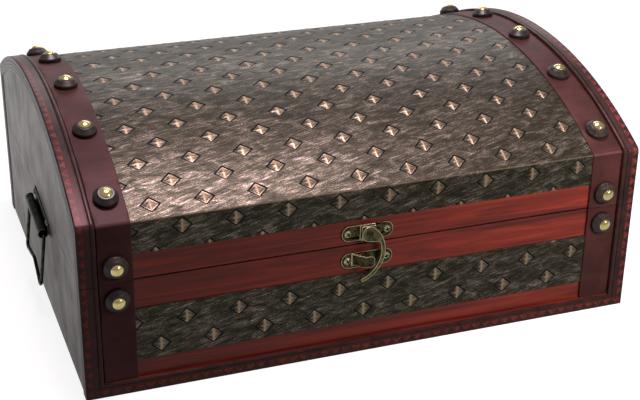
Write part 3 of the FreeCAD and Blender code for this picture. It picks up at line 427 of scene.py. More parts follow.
# Printed binding leather: a dark band with a worn border of red scallops, pitch and size in the flat
def printedBinding(name, bandMiddle, ground, red):
    look = dict(
        pitch=6.8 * mm, tooth=3.0 * mm, rise=1.9 * mm, worn=2.2 * mm, mottle=14 * mm,
        bulge=1.6, edgeBlur=0.14, footBlur=0.08,
    )
    material, add = newMaterial(name)
    flat = add("Attribute", attribute_name="flatPlace")["Vector"]
    parts = add("SeparateXYZ", {0: flat})
    turns = add("Math", {0: parts["Y"], 1: look["pitch"]}, operation="DIVIDE")[0]
    cycle = add("Math", {0: turns}, operation="FRACT")[0]
    sideways = add("Math", {0: cycle, 1: 0.5}, operation="SUBTRACT")[0]
    along = add("Math", {0: sideways, 1: look["pitch"] / look["tooth"]}, operation="MULTIPLY")[0]
    fromFoot = add("Math", {0: parts["X"], 1: bandMiddle - look["rise"]}, operation="SUBTRACT")[0]
    up = add("Math", {0: fromFoot, 1: 2 * look["rise"]}, operation="DIVIDE")[0]
    upHigh = add("Math", {0: up, 1: look["bulge"]}, operation="POWER")[0]
    width = add("Math", {0: 1.0, 1: upHigh}, operation="SUBTRACT")[0]
    out = add("Math", {0: along}, operation="ABSOLUTE")[0]
    inside = add("Math", {0: width, 1: out}, operation="SUBTRACT")[0]
    tooth = add("MapRange", {"Value": inside, "From Max": look["edgeBlur"]})[0]
    foot = add("MapRange", {"Value": up, "From Max": look["footBlur"]})[0]
    shape = add("Math", {0: tooth, 1: foot}, operation="MULTIPLY")[0]
    wornAway = add("TexNoise", {"Vector": flat, "Scale": 1 / look["worn"], "Detail": 3})["Fac"]
    kept = add("MapRange", {
        "Value": wornAway, "From Min": 0.38, "From Max": 0.62, "To Min": 0.15, "To Max": 0.8,
    })[0]
    printed = add("Math", {0: shape, 1: kept}, operation="MULTIPLY")[0]
    mottle = add("TexNoise", {
        "Vector": flat, "Scale": 1 / look["mottle"], "Detail": 5, "Roughness": 0.65,
    })["Fac"]
    base = add("ValToRGB", {"Fac": mottle}, stops=[(0.35, "#1d1615"), (0.7, ground)])["Color"]
    colour = add("Mix", {0: printed, 6: base, 7: ink(red)}, data_type="RGBA")[2]
    bump = add("Bump", {"Height": printed, "Strength": 0.3, "Distance": 0.1 * mm})[0]
    endMaterial(add, {
        "Base Color": colour, "Roughness": 0.4, "Normal": bump, "IOR": 1.5,
        "Specular IOR Level": 0.4, "Specular Tint": ink("#e6b4b0"),
    })
    return material


# Turned wood, stained nearly black and waxed
def ebonisedWood():
    look = dict(grain=1.2 * mm, length=7 * mm)
    material, add = newMaterial("ebonisedTurnedWood")
    place = add("TexCoord")["Object"]
    way = add("Mapping", {"Vector": place, "Scale": stretch(look["length"], look["grain"])})[0]
    grain = add("TexNoise", {"Vector": way, "Scale": 1, "Detail": 4})["Fac"]
    colour = add("ValToRGB", {"Fac": grain}, stops=[(0.35, "#191312"), (0.7, "#3a2c28")])["Color"]
    bump = add("Bump", {"Height": grain, "Strength": 0.15, "Distance": 0.1 * mm})[0]
    endMaterial(add, {"Base Color": colour, "Roughness": 0.38, "Normal": bump, "IOR": 1.5})
    return material


# Stamped or cast brass and bronze: tarnished in soft patches, glossier where it is brighter
def agedMetal(name, bright, dull, patch, smooth, rough):
    material, add = newMaterial(name)
    place = add("TexCoord")["Object"]
    tarnish = add("TexNoise", {
        "Vector": place, "Scale": 1 / patch, "Detail": 5, "Roughness": 0.62,
    })["Fac"]
    colour = add("ValToRGB", {"Fac": tarnish}, stops=[(0.35, dull), (0.68, bright)])["Color"]
    gloss = add("MapRange", {
        "Value": tarnish, "From Min": 0.35, "From Max": 0.7, "To Min": rough, "To Max": smooth,
    })[0]
    bump = add("Bump", {"Height": tarnish, "Strength": 0.12, "Distance": 0.05 * mm})[0]
    endMaterial(add, {"Base Color": colour, "Metallic": 1.0, "Roughness": gloss, "Normal": bump})
    return material


embossed = embossedLeather()
redWood = stainedWood("redStainedPine", "#461712", "#6a241b", "#8c3325", 0.08, 0.35)
slitShadeWood = stainedWood("redPineEdgeSlitShade", "#100605", "#1c0b08", "#2a120d", 0.0, 0.1)  # painted shade in the slit on the eased edges, no shine
innerWood = stainedWood("brownStainedPlywood", "#3a2013", "#59331f", "#75482c", 0.0, 0.4)  # dry, no varnish
strapHide = strapLeather("dyedStrapLeather", "#331c1b", "#4a2a29", "#61403d")
endHide = endLeather()
rimHide = printedBinding("printedRimLeather", 8.4 * mm, "#3d2624", "#84332f")
mouldingHide = printedBinding("printedMouldingLeather", 5.6 * mm, "#4a2a27", "#8e352f")
buttonWood = ebonisedWood()
nailBrass = agedMetal("polishedBrass", "#ffeeb4", "#e8cf80", 2.5 * mm, 0.18, 0.28)  # yellow and glossy
latchBrass = agedMetal("darkAntiqueBrass", "#837b5c", "#3a3526", 3 * mm, 0.28, 0.42)  # olive brown
plateBrass = agedMetal("blackenedAntiqueBrass", "#625b40", "#221e14", 3 * mm, 0.28, 0.42)  # nearly black
wornBrass = agedMetal("rubbedAntiqueBrass", "#ddd4ac", "#aaa077", 2 * mm, 0.25, 0.4)  # bright edges
screwBrass = agedMetal("paleScrewBrass", "#e2d8b2", "#b3a77b", 2 * mm, 0.34, 0.46)  # pale and soft
screwRecessShade = agedMetal("paintedShadeInScrewRecess", "#2a2619", "#0f0d08", 2 * mm, 0.6, 0.8)  # matt and black, painted shade in the cross recess
handleBronze = agedMetal("blackenedBronze", "#4a4a42", "#1d1d19", 4 * mm, 0.32, 0.5)  # cold dark grey
wornBronze = agedMetal("rubbedBronze", "#868a7c", "#4c4e44", 3 * mm, 0.28, 0.42)  # grey edges
print("materials:", len(bpy.data.materials))


# Embossed sheets: a lattice of diamonds pressed into a flat sheet, laid on the wood.
# A start is the place of one diamond: from the middle, and from the front fold or the floor.
emboss = dict(
    column=31.56 / 2 * mm, row=15.59 * mm, half=6.2 * mm, wide=1.13, thickness=sheetHigh.y - woodFace,
    lip=0.35 * mm, groove=0.42 * mm, rim=0.1 * mm, grooveDepth=0.55 * mm, rise=0.35 * mm, apex=0.55 * mm,
    pinch=0.15 * mm, bend=0.4 * mm, foldLines=0.55, lidStart=(-6.42 * mm, 9.57 * mm),
    baseStart=(-5.4 * mm, 28.79 * mm), smoothAngle=9,
)
# What rubbing and painted light leave on a diamond: shares of gold (worn gilt and painted highlight), or of
# black below nothing (painted shade)
rubsAndPaintedLight = dict(ridge=0.8, right=0.05, left=-0.35, groove=-1.0, lowerLip=0.3, upperLip=-0.6, fold=0.4)


def embossedSheet(name, side, start, end, firstColumn, firstRow, folds, place):
    wide, rowStep, half, top = emboss["wide"], emboss["row"], emboss["half"], emboss["thickness"]
    slack = near["lattice"] / 2
    step, side, firstColumn = emboss["column"] / wide, side / wide, firstColumn / wide  # widened at the end
    columnCount = math.ceil((side - abs(firstColumn)) / step) + 2
    columns = [firstColumn + i * step for i in range(-columnCount, columnCount + 1)]
    low = math.floor((start - firstRow) / rowStep) - 1
    high = math.ceil((end - firstRow) / rowStep) + 1
    rows = [firstRow + j * rowStep for j in range(low, high + 1)]

    def nearest(spot):
        i = round((spot.x - firstColumn) / step)
        j = round((spot.y - firstRow) / rowStep)
        return (i + j) % 2 == 0, spot.x - firstColumn - i * step, spot.y - firstRow - j * rowStep

    def isMiddle(vert):
        inner = columns[0] < vert.co.x - mm and vert.co.x + mm < columns[-1]
        inner = inner and rows[0] < vert.co.y - mm and vert.co.y + mm < rows[-1]
        return inner and vert.co.z > top / 2 and nearest(vert.co)[0]

    def isDiamond(face):
        even, dx, dy = nearest(face.calc_center_median())
        onTop = face.normal.z > 0.9 and min(vert.co.z for vert in face.verts) > top / 2
        reach = max(abs(vert.co.x - face.verts[0].co.x) for vert in face.verts)
        return onTop and even and max(abs(dx), abs(dy)) < near["lattice"] and reach < 2.2 * half

    sheet = flatSlab(name, columns, rows, top)
    choose(sheet, "verts", isMiddle)
    bpy.ops.mesh.bevel(
        offset=half, offset_type="OFFSET", affect="VERTICES", segments=1, clamp_overlap=False,
    )
    choose(sheet, "faces", isDiamond)
    rings = (("lip", 0), ("groove", -emboss["grooveDepth"]), ("groove", emboss["rise"]), ("rim", 0))
    for ring, depth in rings:
        bpy.ops.mesh.inset(thickness=emboss[ring], depth=depth, use_individual=True)
    lipReach = half - emboss["lip"] * math.sqrt(2)
    facetReach = half - sum(emboss[ring] for ring, depth in rings) * math.sqrt(2)
    bpy.ops.mesh.poke(offset=emboss["apex"])
    bpy.ops.mesh.poke(offset=-emboss["pinch"])  # the facets are pressed in between the ridges
    for line in [row + rowStep / 2 for row in rows[:-1]] + folds:
        cut(sheet, (0, line, 0), (0, 1, 0))
    for spot, normal in (((side, 0, 0), (1, 0, 0)), ((-side, 0, 0), (-1, 0, 0)),
                         ((0, end, 0), (0, 1, 0)), ((0, start, 0), (0, -1, 0))):
        cut(sheet, spot, normal, drop=True)
    bpy.ops.object.mode_set(mode="OBJECT")
    wear = sheet.data.attributes.new("wear", "FLOAT", "POINT")
    edges = folds[2:3] + folds[7:8]  # the middle line of each fold
    for vert in sheet.data.vertices:
        even, dx, dy = nearest(vert.co)
        reach = abs(dx) + abs(dy)
        amount = 0.0
        if vert.co.z > 0.2 * top and even and reach < half + slack:
            # the upright ridge is worn gold with a painted highlight, the right facets a little gold, the
            # lower lips a painted highlight; the left facets, the groove and the upper lips get painted
            # shade
            if reach < facetReach + slack and abs(dx) < near["lattice"]:
                amount = rubsAndPaintedLight["ridge"]  # the upright one
            elif reach < facetReach + slack:
                amount = rubsAndPaintedLight["right" if dx > near["lattice"] else "left"]
            elif reach < lipReach - slack:
                amount = rubsAndPaintedLight["groove"]
            elif reach < half - near["lattice"]:
                amount = rubsAndPaintedLight["lowerLip" if dy < -near["lattice"] else "upperLip"]
        # a gold line along each fold's middle, partly wear and partly painted highlight
        if any(abs(vert.co.y - edge) < near["line"] for edge in edges):
            amount = max(amount, rubsAndPaintedLight["fold"])
        wear.data[vert.index].value = amount
        vert.co.x *= wide
    layOn(sheet, place, emboss["smoothAngle"])
    return sheet


lidAt, sheetArch, sheetBend, sheetWay = lidPath(woodDepth, emboss["bend"])
edgeWay = sheetArch + sheetBend / 2
foldLines = [edgeWay + f * emboss["foldLines"] * sheetBend for f in (-3, -1, 0, 1, 3)]
sheetEnd = sheetWay - sheetLow.z
lidColumn, lidRow = emboss["lidStart"]
lidSheet = embossedSheet(
    "lidEmbossedSheet", sheetHigh.x, -sheetEnd, sheetEnd, lidColumn, lidRow - edgeWay,
    [-line for line in foldLines] + foldLines, lambda x, along, height: Vector((x, *lidAt(along, height))),
)
seat(lidSheet, "lid", "embossed_sheet", [embossed], "lid_embossed_sheet")
for faceName, face in faces.items():
    baseSheet = embossedSheet(
        faceName + "EmbossedSheet", baseSheetHigh.x, baseSheetLow.z, baseSheetHigh.z,
        *emboss["baseStart"], [],
        lambda x, along, height, face=face: Vector((x, face * (woodFace + height), along)),
    )
    seat(baseSheet, "base", "embossed_sheet", [embossed], f"base_{faceName}_embossed_sheet")
print("embossed sheets:", len(lidSheet.data.polygons), "faces on the lid")


# Straps: flat strips with eased edges, pressed in a little under the buttons
strap = dict(
    thickness=strapHigh.y - woodFace, edge=0.55 * mm, bend=0.6 * mm, press=0.28 * mm, pressReach=15 * mm,
    wave=0.12 * mm, waveLength=41 * mm, step=4 * mm, lanes=6, foldRub=0.5, smoothAngle=25,
    folds=(-0.6, 0, 0.33, 0.66, 1, 1.6),  # lines across the bend, in lengths of it
)
button = dict(
    radius=7.3 * mm, topRadius=4.7 * mm, skirt=2.4 * mm, height=5.3 * mm, ease=0.7 * mm, count=5,
    frontDistance=18.6 * mm, backDistance=44.2 * mm, slitDistance=10.5 * mm, chamfer=0.2 * mm,
    lip=0.25 * mm, nailSeat=3.8 * mm, grainTurn=37, frontTurn=0.6, around=40,
)
strapMiddle = (strapLow.x + strapHigh.x) / 2
strapRadius = archRadius - woodDepth + strap["thickness"]
strapTurn = math.asin(strapHigh.y / strapRadius)
firstTurn = button["frontDistance"] / strapRadius - strapTurn
turnStep = (strapTurn - button["backDistance"] / strapRadius - firstTurn) / (button["count"] - 1)
buttonTurns = [firstTurn + turnStep * i for i in range(button["count"])]


def strapPiece(name, side, rows, spots, folds, place):
    width = strapHigh.x - strapLow.x
    lanes = strap["lanes"]
    lines = [side * strapMiddle + width * (i / lanes - 0.5) for i in range(lanes + 1)]
    strip = flatSlab(name, lines, rows, strap["thickness"])
    choose(strip, "edges", lambda edge: (
        all(vert.co.z > strap["thickness"] / 2 for vert in edge.verts) and edge.calc_face_angle(0) > 1
        and abs(edge.verts[0].co.x - edge.verts[1].co.x) < near["line"]
    ))
    bpy.ops.mesh.bevel(offset=strap["edge"], segments=3, affect="EDGES")
    bpy.ops.object.mode_set(mode="OBJECT")
    wear = strip.data.attributes.new("wear", "FLOAT", "POINT")
    for vert in strip.data.vertices:
        fold = any(abs(vert.co.y - line) < near["line"] for line in folds)
        rim = abs(abs(vert.co.x - side * strapMiddle) - width / 2) < strap["edge"] * 0.95
        wear.data[vert.index].value = strap["foldRub"] if fold else 0.0
        if vert.co.z < strap["thickness"] / 2:
            continue
        for spot in spots:
            gap = math.hypot(vert.co.x - side * strapMiddle, vert.co.y - spot) / strap["pressReach"]
            vert.co.z -= strap["press"] * max(0.0, 1 - gap) ** 2
        if not rim:
            vert.co.z += strap["wave"] * math.sin(2 * math.pi * vert.co.y / strap["waveLength"] + side)
    layOn(strip, place, strap["smoothAngle"])
    return strip


strapAt, strapArch, strapBend, strapWay = lidPath(woodDepth, strap["bend"])
strapFolds = [strapArch + strapBend * f for f in strap["folds"]]
buttonWays = [turn * (archRadius - woodDepth) for turn in buttonTurns]
lidEnd = strapWay - lidFoot
straight = evenly(strapFolds[-1], lidEnd, strap["step"])
archRows = evenly(-strapFolds[0], strapFolds[0], strap["step"])
lidRows = [-row for row in reversed(straight)] + [-f for f in reversed(strapFolds[1:-1])] + archRows
lidRows += strapFolds[1:-1] + straight
frontButton = strapWay - (slit + button["slitDistance"])
for sideName, side in sides.items():
    lidStrap = strapPiece(
        sideName + "LidStrap", side, lidRows, buttonWays + [-frontButton],
        [s * f for f in strapFolds[2:4] for s in (-1, 1)],
        lambda x, along, height: Vector((x, *strapAt(along, height))),
    )
    seat(lidStrap, "lid", "strap_leather", [strapHide], f"lid_{sideName}_strap")
    for faceName, face in faces.items():
        baseStrap = strapPiece(
            sideName + faceName.title() + "Strap", side, evenly(mouldingTop, slit, strap["step"]),
            [slit - button["slitDistance"]] if face < 0 else [], [],
            lambda x, along, height, face=face: Vector((x, face * (woodFace + height), along)),
        )
        seat(baseStrap, "base", "strap_leather", [strapHide], f"base_{sideName}_{faceName}_strap")
print("straps done")


# Bindings: a strip with a raised bead, tooled lines and a fold over the end face.
# Each pair is the distance from the inner edge and the height over the board.
binding = dict(
    crease=0.35 * mm, fold=9.5 * mm, step=5 * mm,
    rim=[
        (0, 0.3), (0.2, 0.62), (0.75, 0.86), (1.4, 0.9), (2.0, 0.8), (2.4, 0.52), (2.6, 0.1), (2.95, 0.1),
        (3.15, 0.5), (3.5, 0.58), (9.4, 0.6),
    ],
    turned=[
        (0.5, 0.62), (1.5, 0.62), (1.7, 0.3), (1.95, 0.3), (2.15, 0.62), (3.9, 0.62), (4.1, 0.35),
        (4.35, 0.35), (4.55, 0.62), (6.3, 0.62), (6.5, 0.4), (6.7, 0.4), (6.9, 0.62), (7.9, 0.55),
    ],
    moulding=[
        (0, 0.25), (0.2, 0.55), (0.6, 0.7), (1.2, 0.7), (1.6, 0.55), (1.8, 0.15), (2.1, 0.15), (2.3, 0.55),
        (8.1, 0.6), (8.5, 0.55), (8.8, 0.3),
    ],
    creaseHeight=0.62 * mm, edgeHeight=0.3 * mm, mouldingStep=12 * mm, smoothAngle=35,
)
creaseStart = endFace - rimInside - binding["crease"]
creaseLength = binding["crease"] * math.pi / 2
outline = [(u * mm, h * mm) for u, h in binding["rim"]]
outline += [(creaseStart + creaseLength * i / 4, binding["creaseHeight"]) for i in range(5)]
outline += [(creaseStart + creaseLength + u * mm, h * mm) for u, h in binding["turned"]]
foldEnd = creaseStart + creaseLength + binding["fold"] - bindingThickness - binding["crease"]
outline.append((foldEnd, binding["edgeHeight"]))


# From the flat strip to the distance from the middle of the chest and the depth below the rim
def overEdge(across, height):
    crease = binding["crease"]
    if across <= creaseStart:
        return rimInside + across, bindingThickness - height
    if across <= creaseStart + creaseLength:
        turn = (across - creaseStart) / crease
        reach = crease + height
        depth = bindingThickness + crease - reach * math.cos(turn)
        return rimInside + creaseStart + reach * math.sin(turn), depth
    return endFace + height, bindingThickness + crease + across - creaseStart - creaseLength


def profiledStrip(name, profile, rows):
    strip = flatSlab(name, [u for u, h in profile], rows, bindingThickness)
    bpy.ops.object.mode_set(mode="OBJECT")
    for vert in strip.data.vertices:
        if vert.co.z > bindingThickness / 2:
            vert.co.z = min(profile, key=lambda pair: abs(pair[0] - vert.co.x))[1]
    return strip


rimAt, rimArch, rimBend, rimWay = lidPath(bindingThickness, rimCorner - bindingThickness)
cornerRows = [rimArch + rimBend * i / 8 for i in range(1, 9)]
uprightRows = evenly(cornerRows[-1], rimWay - lidFoot, binding["step"])[1:]
rimRows = evenly(-rimArch, rimArch, binding["step"])
outerRows = cornerRows + uprightRows
rimRows = [-row for row in reversed(outerRows)] + rimRows + outerRows
for sideName, side in sides.items():
    def onLid(across, along, height, side=side):
        out, depth = overEdge(across, height)
        return Vector((side * out, *rimAt(along, bindingThickness - depth)))

    rim = profiledStrip(sideName + "LidBinding", outline, rimRows)
    layOn(rim, onLid, binding["smoothAngle"])
    seat(rim, "lid", "printed_binding", [rimHide], f"lid_{sideName}_binding")
    for faceName, face in faces.items():
        def onBase(across, along, height, side=side, face=face):
            out, depth = overEdge(across, height)
            return Vector((side * out, face * (halfDepth - depth), along))

        postRows = [0] + evenly(mouldingTop, slit, binding["step"])
        post = profiledStrip(sideName + faceName.title() + "Binding", outline, postRows)
        editAlone(post)
        mitre = Vector((halfWidth - rimInside, -mouldingTop, 0))
        cut(post, (0, mouldingTop, 0), Vector((mitre.y, -mitre.x, 0)), drop=True)
        layOn(post, onBase, binding["smoothAngle"])
        seat(post, "base", "printed_binding", [rimHide], f"base_{sideName}_{faceName}_binding")
for faceName, face in faces.items():
    strip = profiledStrip(
        faceName + "MouldingBinding", [(u * mm, h * mm) for u, h in binding["moulding"]],
        [-halfWidth] + evenly(-rimInside, rimInside, binding["mouldingStep"]) + [halfWidth],
    )
    editAlone(strip)
    for side in sides.values():
        slope = Vector((-(halfWidth - rimInside), side * mouldingTop, 0))
        cut(strip, (0, side * rimInside, 0), slope, drop=True)
    layOn(strip, lambda across, along, height, face=face: Vector((
        along, face * (halfDepth - bindingThickness + height), mouldingTop - across,
    )), binding["smoothAngle"])
    seat(strip, "base", "printed_binding", [mouldingHide], f"{faceName}_moulding_binding")
print("bindings done")


# A domed head: the radius of its curve, and its outline from the edge to the top
def capRadius(radius, rise):
    return (radius ** 2 + rise ** 2) / (2 * rise)


def capOutline(radius, rise, top, steps):
    curve = capRadius(radius, rise)
    spreads = [math.asin(radius / curve) * (1 - i / steps) for i in range(steps + 1)]
    return [(curve * math.sin(s), top - curve * (1 - math.cos(s))) for s in spreads]


# Turned wooden buttons and the domed nails that hold them
nail = dict(
    radius=3.7 * mm, height=1.9 * mm, foot=0.3 * mm, sunk=0.2 * mm, ease=0.25 * mm, lip=0.1 * mm, around=32,
)
radius, height, ease, chamfer, lip = (button[key] for key in ("radius", "height", "ease", "chamfer", "lip"))
slope = math.degrees(math.atan2(height - button["skirt"], radius - button["topRadius"]))
buttonOutline = [(0, 0), (radius - chamfer, 0), (radius, lip)]
buttonOutline += roundOff((radius - ease, button["skirt"] - chamfer), ease, 0, 110 - slope, 4)
buttonOutline += roundOff((button["topRadius"] - chamfer, height - ease), ease, 45, 90, 4)
seatRadius = button["nailSeat"]
buttonOutline += [(seatRadius, height), (seatRadius - chamfer, height - lip), (0, height - lip)]
buttonPattern = lathe("buttonPattern", buttonOutline, button["around"])
nailOutline = [(0, -nail["sunk"]), (nail["radius"] - nail["ease"], -nail["sunk"])]
nailOutline.append((nail["radius"], nail["lip"]))
nailOutline += capOutline(nail["radius"], nail["height"] - nail["foot"], nail["height"], 8)
nailPattern = lathe("nailPattern", nailOutline, nail["around"])
for pattern in (buttonPattern, nailPattern):
    tidyMesh(pattern, 40)


def buttonPlaces(part, lift):
    made = []
    for index, side in enumerate(sides.values()):
        for step, turn in enumerate(buttonTurns if part == "lid" else []):
            grain = button["grainTurn"] * (step + button["count"] * index)
            spin = Matrix.Rotation(math.radians(grain), 4, "Z")
            seatHeight = Matrix.Translation((0, 0, strapRadius - strap["press"] + lift))
            tilt = Matrix.Rotation(-turn, 4, "X")
            made.append(Matrix.Translation((side * strapMiddle, 0, archCentre)) @ tilt @ seatHeight @ spin)
        height = slit + button["slitDistance"] * (1 if part == "lid" else -1)
        spot = Matrix.Translation((side * strapMiddle, -strapHigh.y + strap["press"] - lift, height))
        spin = Matrix.Rotation(button["frontTurn"] + index, 4, "Z")
        made.append(spot @ Matrix.Rotation(math.pi / 2, 4, "X") @ spin)
    return made


for part in ("lid", "base"):
    buttons = copiesOf(part + "Buttons", buttonPattern, buttonPlaces(part, 0))
    seat(buttons, part, "button_wood", [buttonWood], part + "_buttons")
    nails = copiesOf(part + "ButtonNails", nailPattern, buttonPlaces(part, button["height"]))
    seat(nails, part, "brass_nail", [nailBrass], part + "_button_nails")
print("buttons and nails done")


# Domed screws with a cross recess
screw = dict(
    radius=2.3 * mm, height=1.1 * mm, slotLength=2.9 * mm, slotWidth=0.85 * mm, slotDepth=0.75 * mm,
    sunk=0.1 * mm, shadeDepth=0.1 * mm, firstTurn=0.5, turnStep=1.3, around=28,
)
screwOutline = [(0, -screw["sunk"]), (screw["radius"], -screw["sunk"])]
screwOutline += capOutline(screw["radius"], screw["height"], screw["height"], 6)
screwPattern = lathe("screwPattern", screwOutline, screw["around"])
tidyMesh(screwPattern, 40)
for turn in (0, math.pi / 2):
    bpy.ops.object.select_all(action="DESELECT")
    bpy.ops.mesh.primitive_cube_add(size=1, location=(0, 0, screw["height"]), rotation=(0, 0, turn))
    cutter = bpy.context.object
    cutter.scale = screw["slotLength"], screw["slotWidth"], 2 * screw["slotDepth"]
    bpy.ops.object.transform_apply(location=True, rotation=True, scale=True)
    recess = screwPattern.modifiers.new("recess", "BOOLEAN")
    recess.object = cutter
    recess.operation = "DIFFERENCE"
    bpy.context.view_layer.objects.active = screwPattern
    bpy.ops.object.modifier_apply(modifier="recess")
    bpy.data.objects.remove(cutter)
tidyMesh(screwPattern, 30)
screwPattern.data.materials.clear()
for material in (screwBrass, screwRecessShade):
    screwPattern.data.materials.append(material)
screwCurve = capRadius(screw["radius"], screw["height"])
for face in screwPattern.data.polygons:  # the walls and floor of the recess are painted dark as shade
    x, y, z = face.center
    domed = screw["height"] - screwCurve + math.sqrt(screwCurve ** 2 - x ** 2 - y ** 2)
    if math.hypot(x, y) < screw["slotLength"] / 2 and 0 < z < domed - screw["shadeDepth"]:
        face.material_index = 1


# The loose solids of a node, as their boxes
def solidsOf(node):
    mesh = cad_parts[node].data.copy()
    shape = bmesh.new()
    shape.from_mesh(mesh)
    bmesh.ops.remove_doubles(shape, verts=shape.verts, dist=near["node"])
    left = set(shape.verts)
    boxes = []
    while left:
        group = [left.pop()]
        for vert in group:
            for edge in vert.link_edges:
                other = edge.other_vert(vert)
                if other in left:
                    left.remove(other)
                    group.append(other)
        low = Vector([min(vert.co[i] for vert in group) for i in range(3)])
        high = Vector([max(vert.co[i] for vert in group) for i in range(3)])
        boxes.append((low, high))
    shape.free()
    bpy.data.meshes.remove(mesh)
    return sorted(boxes, key=lambda box: tuple(round(value, 4) for value in box[0]))


def screwPlaces(node, outward):
    made = []
    for index, (low, high) in enumerate(solidsOf(node)):
        middle = (low + high) / 2
        axis = max(range(3), key=lambda i: abs(outward[i]))
        middle[axis] = (high if outward[axis] > 0 else low)[axis] - outward[axis] * screw["height"]
        turn = Vector((0, 0, 1)).rotation_difference(Vector(outward)).to_matrix().to_4x4()
        spin = Matrix.Rotation(screw["firstTurn"] + screw["turnStep"] * index, 4, "Z")
        made.append(Matrix.Translation(middle) @ turn @ spin)
    return made


front, back = (0, -1, 0), (0, 1, 0)
screwSets = {
    "lid_latch_screws": ("lid", front), "base_latch_screws": ("base", front),
    "lid_hinge_screws": ("lid", back), "base_hinge_screws": ("base", back),
    "left_handle_screws": ("base", (-1, 0, 0)), "right_handle_screws": ("base", (1, 0, 0)),
}
for node, (body, outward) in screwSets.items():
    heads = copiesOf(pieceName(node), screwPattern, screwPlaces(node, outward))
    if "handle" in node:
        heads.data.materials[0] = wornBronze
    seat(heads, body, "antique_brass", [screwBrass, screwRecessShade], node)
for pattern in (buttonPattern, nailPattern, screwPattern):
    bpy.data.objects.remove(pattern)
print("screws done")


# Metal fittings: stamped plates with rolled-off edges that the hand has rubbed bright.
# Each has its body, the width of its eased edges in mm, and its finishes on faces and edges.
brass, blackBrass, bronze = [latchBrass, wornBrass], [plateBrass, wornBrass], [handleBronze, wornBronze]
fittings = {
    "latch_upper_plate": ("lid", 0.45, blackBrass), "latch_lower_plate": ("base", 0.4, blackBrass),
    "latch_hook": ("hook", 0.55, brass), "latch_rivet": ("lid", 0.4, blackBrass),
}
for sideName in sides:
    fittings.update({
        f"{sideName}_hinge_base_leaf": ("base", 0.25, brass),
        f"{sideName}_hinge_lid_leaf": ("lid", 0.25, brass),
        f"{sideName}_handle_plate": ("base", 0.22, bronze),
        f"{sideName}_handle_bail": (f"{sideName}_bail", 0.2, bronze),
        f"{sideName}_hinge_pin": ("base", 0.15, brass),
    })
for node, (body, width, metals) in fittings.items():
    piece = easedCopy(node, pieceName(node), width * mm, metals)
    seat(piece, body, "antique_brass", metals, node)
print("fittings done")


# Boards: the front and back ones get eased edges along the slit, painted dark as shade in the slit
boards = dict(ease=0.35 * mm, steps=3, woods=[redWood, slitShadeWood, innerWood])
for part, level in (("lid", lidFoot), ("base", slit)):
    for faceName, face in faces.items():
        node = f"{part}_{faceName}_board"
        board = easedCopy(
            node, pieceName(node), boards["ease"], boards["woods"], boards["steps"],
            lambda edge, face=face, level=level: all(
                abs(vert.co.z - level) < near["line"] and abs(vert.co.y - face * woodFace) < near["line"]
                for vert in edge.verts
            ),
        )
        for side in board.data.polygons:  # the inner face is stained as the rest of the inside
            if side.normal.y * face < -0.9:
                side.material_index = 2
        seat(board, part, "stained_wood", boards["woods"], node)

# What the frame shows as it is gets its finish
finishes = {
    "bottom_board": ("stained_wood", innerWood), "lid_arch_panel": ("stained_wood", innerWood),
    "front_moulding": ("stained_wood", redWood), "back_moulding": ("stained_wood", redWood),
}
for sideName in sides:
    for part in ("base", "lid"):
        finishes[f"{part}_{sideName}_end_board"] = ("stained_wood", innerWood)
        finishes[f"{part}_{sideName}_end_cover"] = ("end_leather", endHide)
for node, (slotName, material) in finishes.items():
    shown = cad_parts[node]
    shown.data.materials.clear()
    shown.data.materials.append(material)
print("boards and covers done")


# Studio: a floor that is white to the eye and dim to the chest's front, and soft boxes round the chest.
# In reflections the floor glows, painted brighter towards the left and the back as if the board were lit
# there.
studio = dict(
    floorSize=6.0, worldLight=0.06, mirrorLight=0.22, shadowKept=0.3, whiteBoard=1.25, floorDark=0.75,
    darkAt=0.0, whiteAt=0.42, farBoard=1.7, litWay=(-0.6, 0.8, 0), bounce="#1e1d1c",
)
bpy.ops.object.select_all(action="DESELECT")
bpy.ops.mesh.primitive_plane_add(size=studio["floorSize"])
floor = bpy.context.object
floor.name = floor.data.name = "studioFloor"
floorPaint, add = newMaterial("matWhiteBoard")
rays = add("LightPath")
spot = add("TexCoord")["Object"]
towards = add("VectorMath", {0: spot, 1: studio["litWay"]}, operation="DOT_PRODUCT")["Value"]
lit = add("MapRange", {
    "Value": towards, "From Min": studio["darkAt"], "From Max": studio["whiteAt"],
    "To Min": studio["floorDark"], "To Max": studio["farBoard"],
})[0]
mirrored = add("Math", {0: lit, 1: rays["Is Glossy Ray"]}, operation="MULTIPLY")[0]
direct = add("Math", {0: rays["Is Camera Ray"], 1: studio["whiteBoard"]}, operation="MULTIPLY")[0]
white = add("Math", {0: direct, 1: mirrored}, operation="MAXIMUM")[0]
seen = add("Math", {0: rays["Is Camera Ray"], 1: rays["Is Glossy Ray"]}, operation="MAXIMUM")[0]
share = add("Math", {0: seen, 1: 1 - studio["shadowKept"]}, operation="MULTIPLY")[0]
board = add("Mix", {
    0: rays["Is Camera Ray"], 6: ink(studio["bounce"]), 7: ink("#ffffff"),
}, data_type="RGBA")[2]
matt = add("BsdfDiffuse", {"Color": board})
glow = add("Emission", {"Color": (1, 1, 1, 1), "Strength": white})
surface = add("MixShader", {0: share, 1: matt[0], 2: glow[0]})
add("OutputMaterial", {"Surface": surface[0]})
floor.data.materials.append(floorPaint)

world = bpy.data.worlds.new("studioWorld")
bpy.context.scene.world = world
world.use_nodes = True
world.node_tree.nodes.clear()
add = partial(addNode, world.node_tree)
rays = add("LightPath")
seen = add("Math", {
    0: rays["Is Glossy Ray"], 1: studio["mirrorLight"], 2: rays["Is Camera Ray"],
}, operation="MULTIPLY_ADD")[0]
seen = add("Math", {0: seen, 1: rays["Is Transmission Ray"]}, operation="MAXIMUM")[0]
strength = add("MapRange", {"Value": seen, "To Min": studio["worldLight"], "To Max": 1.0})[0]
sky = add("Background", {"Color": (1, 1, 1, 1), "Strength": strength})
add("OutputWorld", {"Surface": sky[0]})

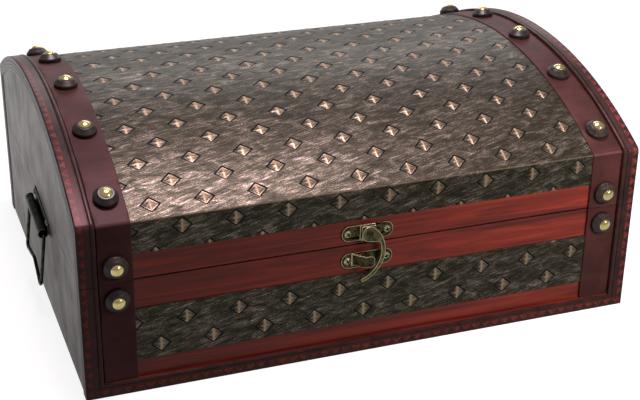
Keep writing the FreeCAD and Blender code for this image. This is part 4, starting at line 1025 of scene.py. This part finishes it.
lamps = {
    "topBox": dict(
        place=(0.03, -0.05, 1.2), aim=(0, -0.05, 0.12), size=(0.26, 0.45), power=14.8, tint="#ffeaf6",
    ),
    "frontBox": dict(
        place=(0.6, -1.15, 0.8), aim=(0, -0.1, 0.08), size=(0.22, 0.22), power=1.9, tint="#ffffff",
    ),
    "backBox": dict(
        place=(0.45, 1.2, 0.8), aim=(0.05, 0, 0.13), size=(1.2, 0.5), power=4.2, tint="#ffffff",
    ),
    "rightBox": dict(
        place=(0.17, -0.31, 0.18), aim=(0.16, -0.14, 0.07), size=(0.1, 0.1), power=0.6, tint="#fff8f2",
    ),
}
for name, lamp in lamps.items():
    light = bpy.data.lights.new(name, "AREA")
    light.shape = "RECTANGLE"
    light.size, light.size_y = lamp["size"]
    light.energy = lamp["power"]
    light.color = ink(lamp["tint"])[:3]
    box = bpy.data.objects.new(name, light)
    box.location = lamp["place"]
    box.rotation_euler = (Vector(lamp["aim"]) - Vector(lamp["place"])).to_track_quat("-Z", "Y").to_euler()
    box.visible_camera = False
    box.visible_glossy = name != "rightBox"  # it lights the front without a glare on the metal
    bpy.context.collection.objects.link(box)

# Camera where the photograph was taken from
view = dict(
    aim=(16.7 * mm, 0, 36.8 * mm), azimuth=-20.42, elevation=25.43, roll=0.82, distance=961.9 * mm,
    sensor=36, lens=77.55, nearest=10 * mm,
)
azimuth, elevation = math.radians(view["azimuth"]), math.radians(view["elevation"])
backward = Vector((
    math.sin(azimuth) * math.cos(elevation), -math.cos(azimuth) * math.cos(elevation), math.sin(elevation),
))
camera = bpy.data.objects.new("camera", bpy.data.cameras.new("camera"))
camera.data.sensor_width = view["sensor"]
camera.data.lens = view["lens"]
camera.data.clip_start = view["nearest"]
camera.location = Vector(view["aim"]) + backward * view["distance"]
roll = Matrix.Rotation(math.radians(view["roll"]), 3, "Z")
camera.rotation_euler = ((-backward).to_track_quat("-Z", "Y").to_matrix() @ roll).to_euler()
bpy.context.collection.objects.link(camera)
bpy.context.scene.camera = camera
bpy.context.scene.view_settings.view_transform = "Standard"

print("scene ready")
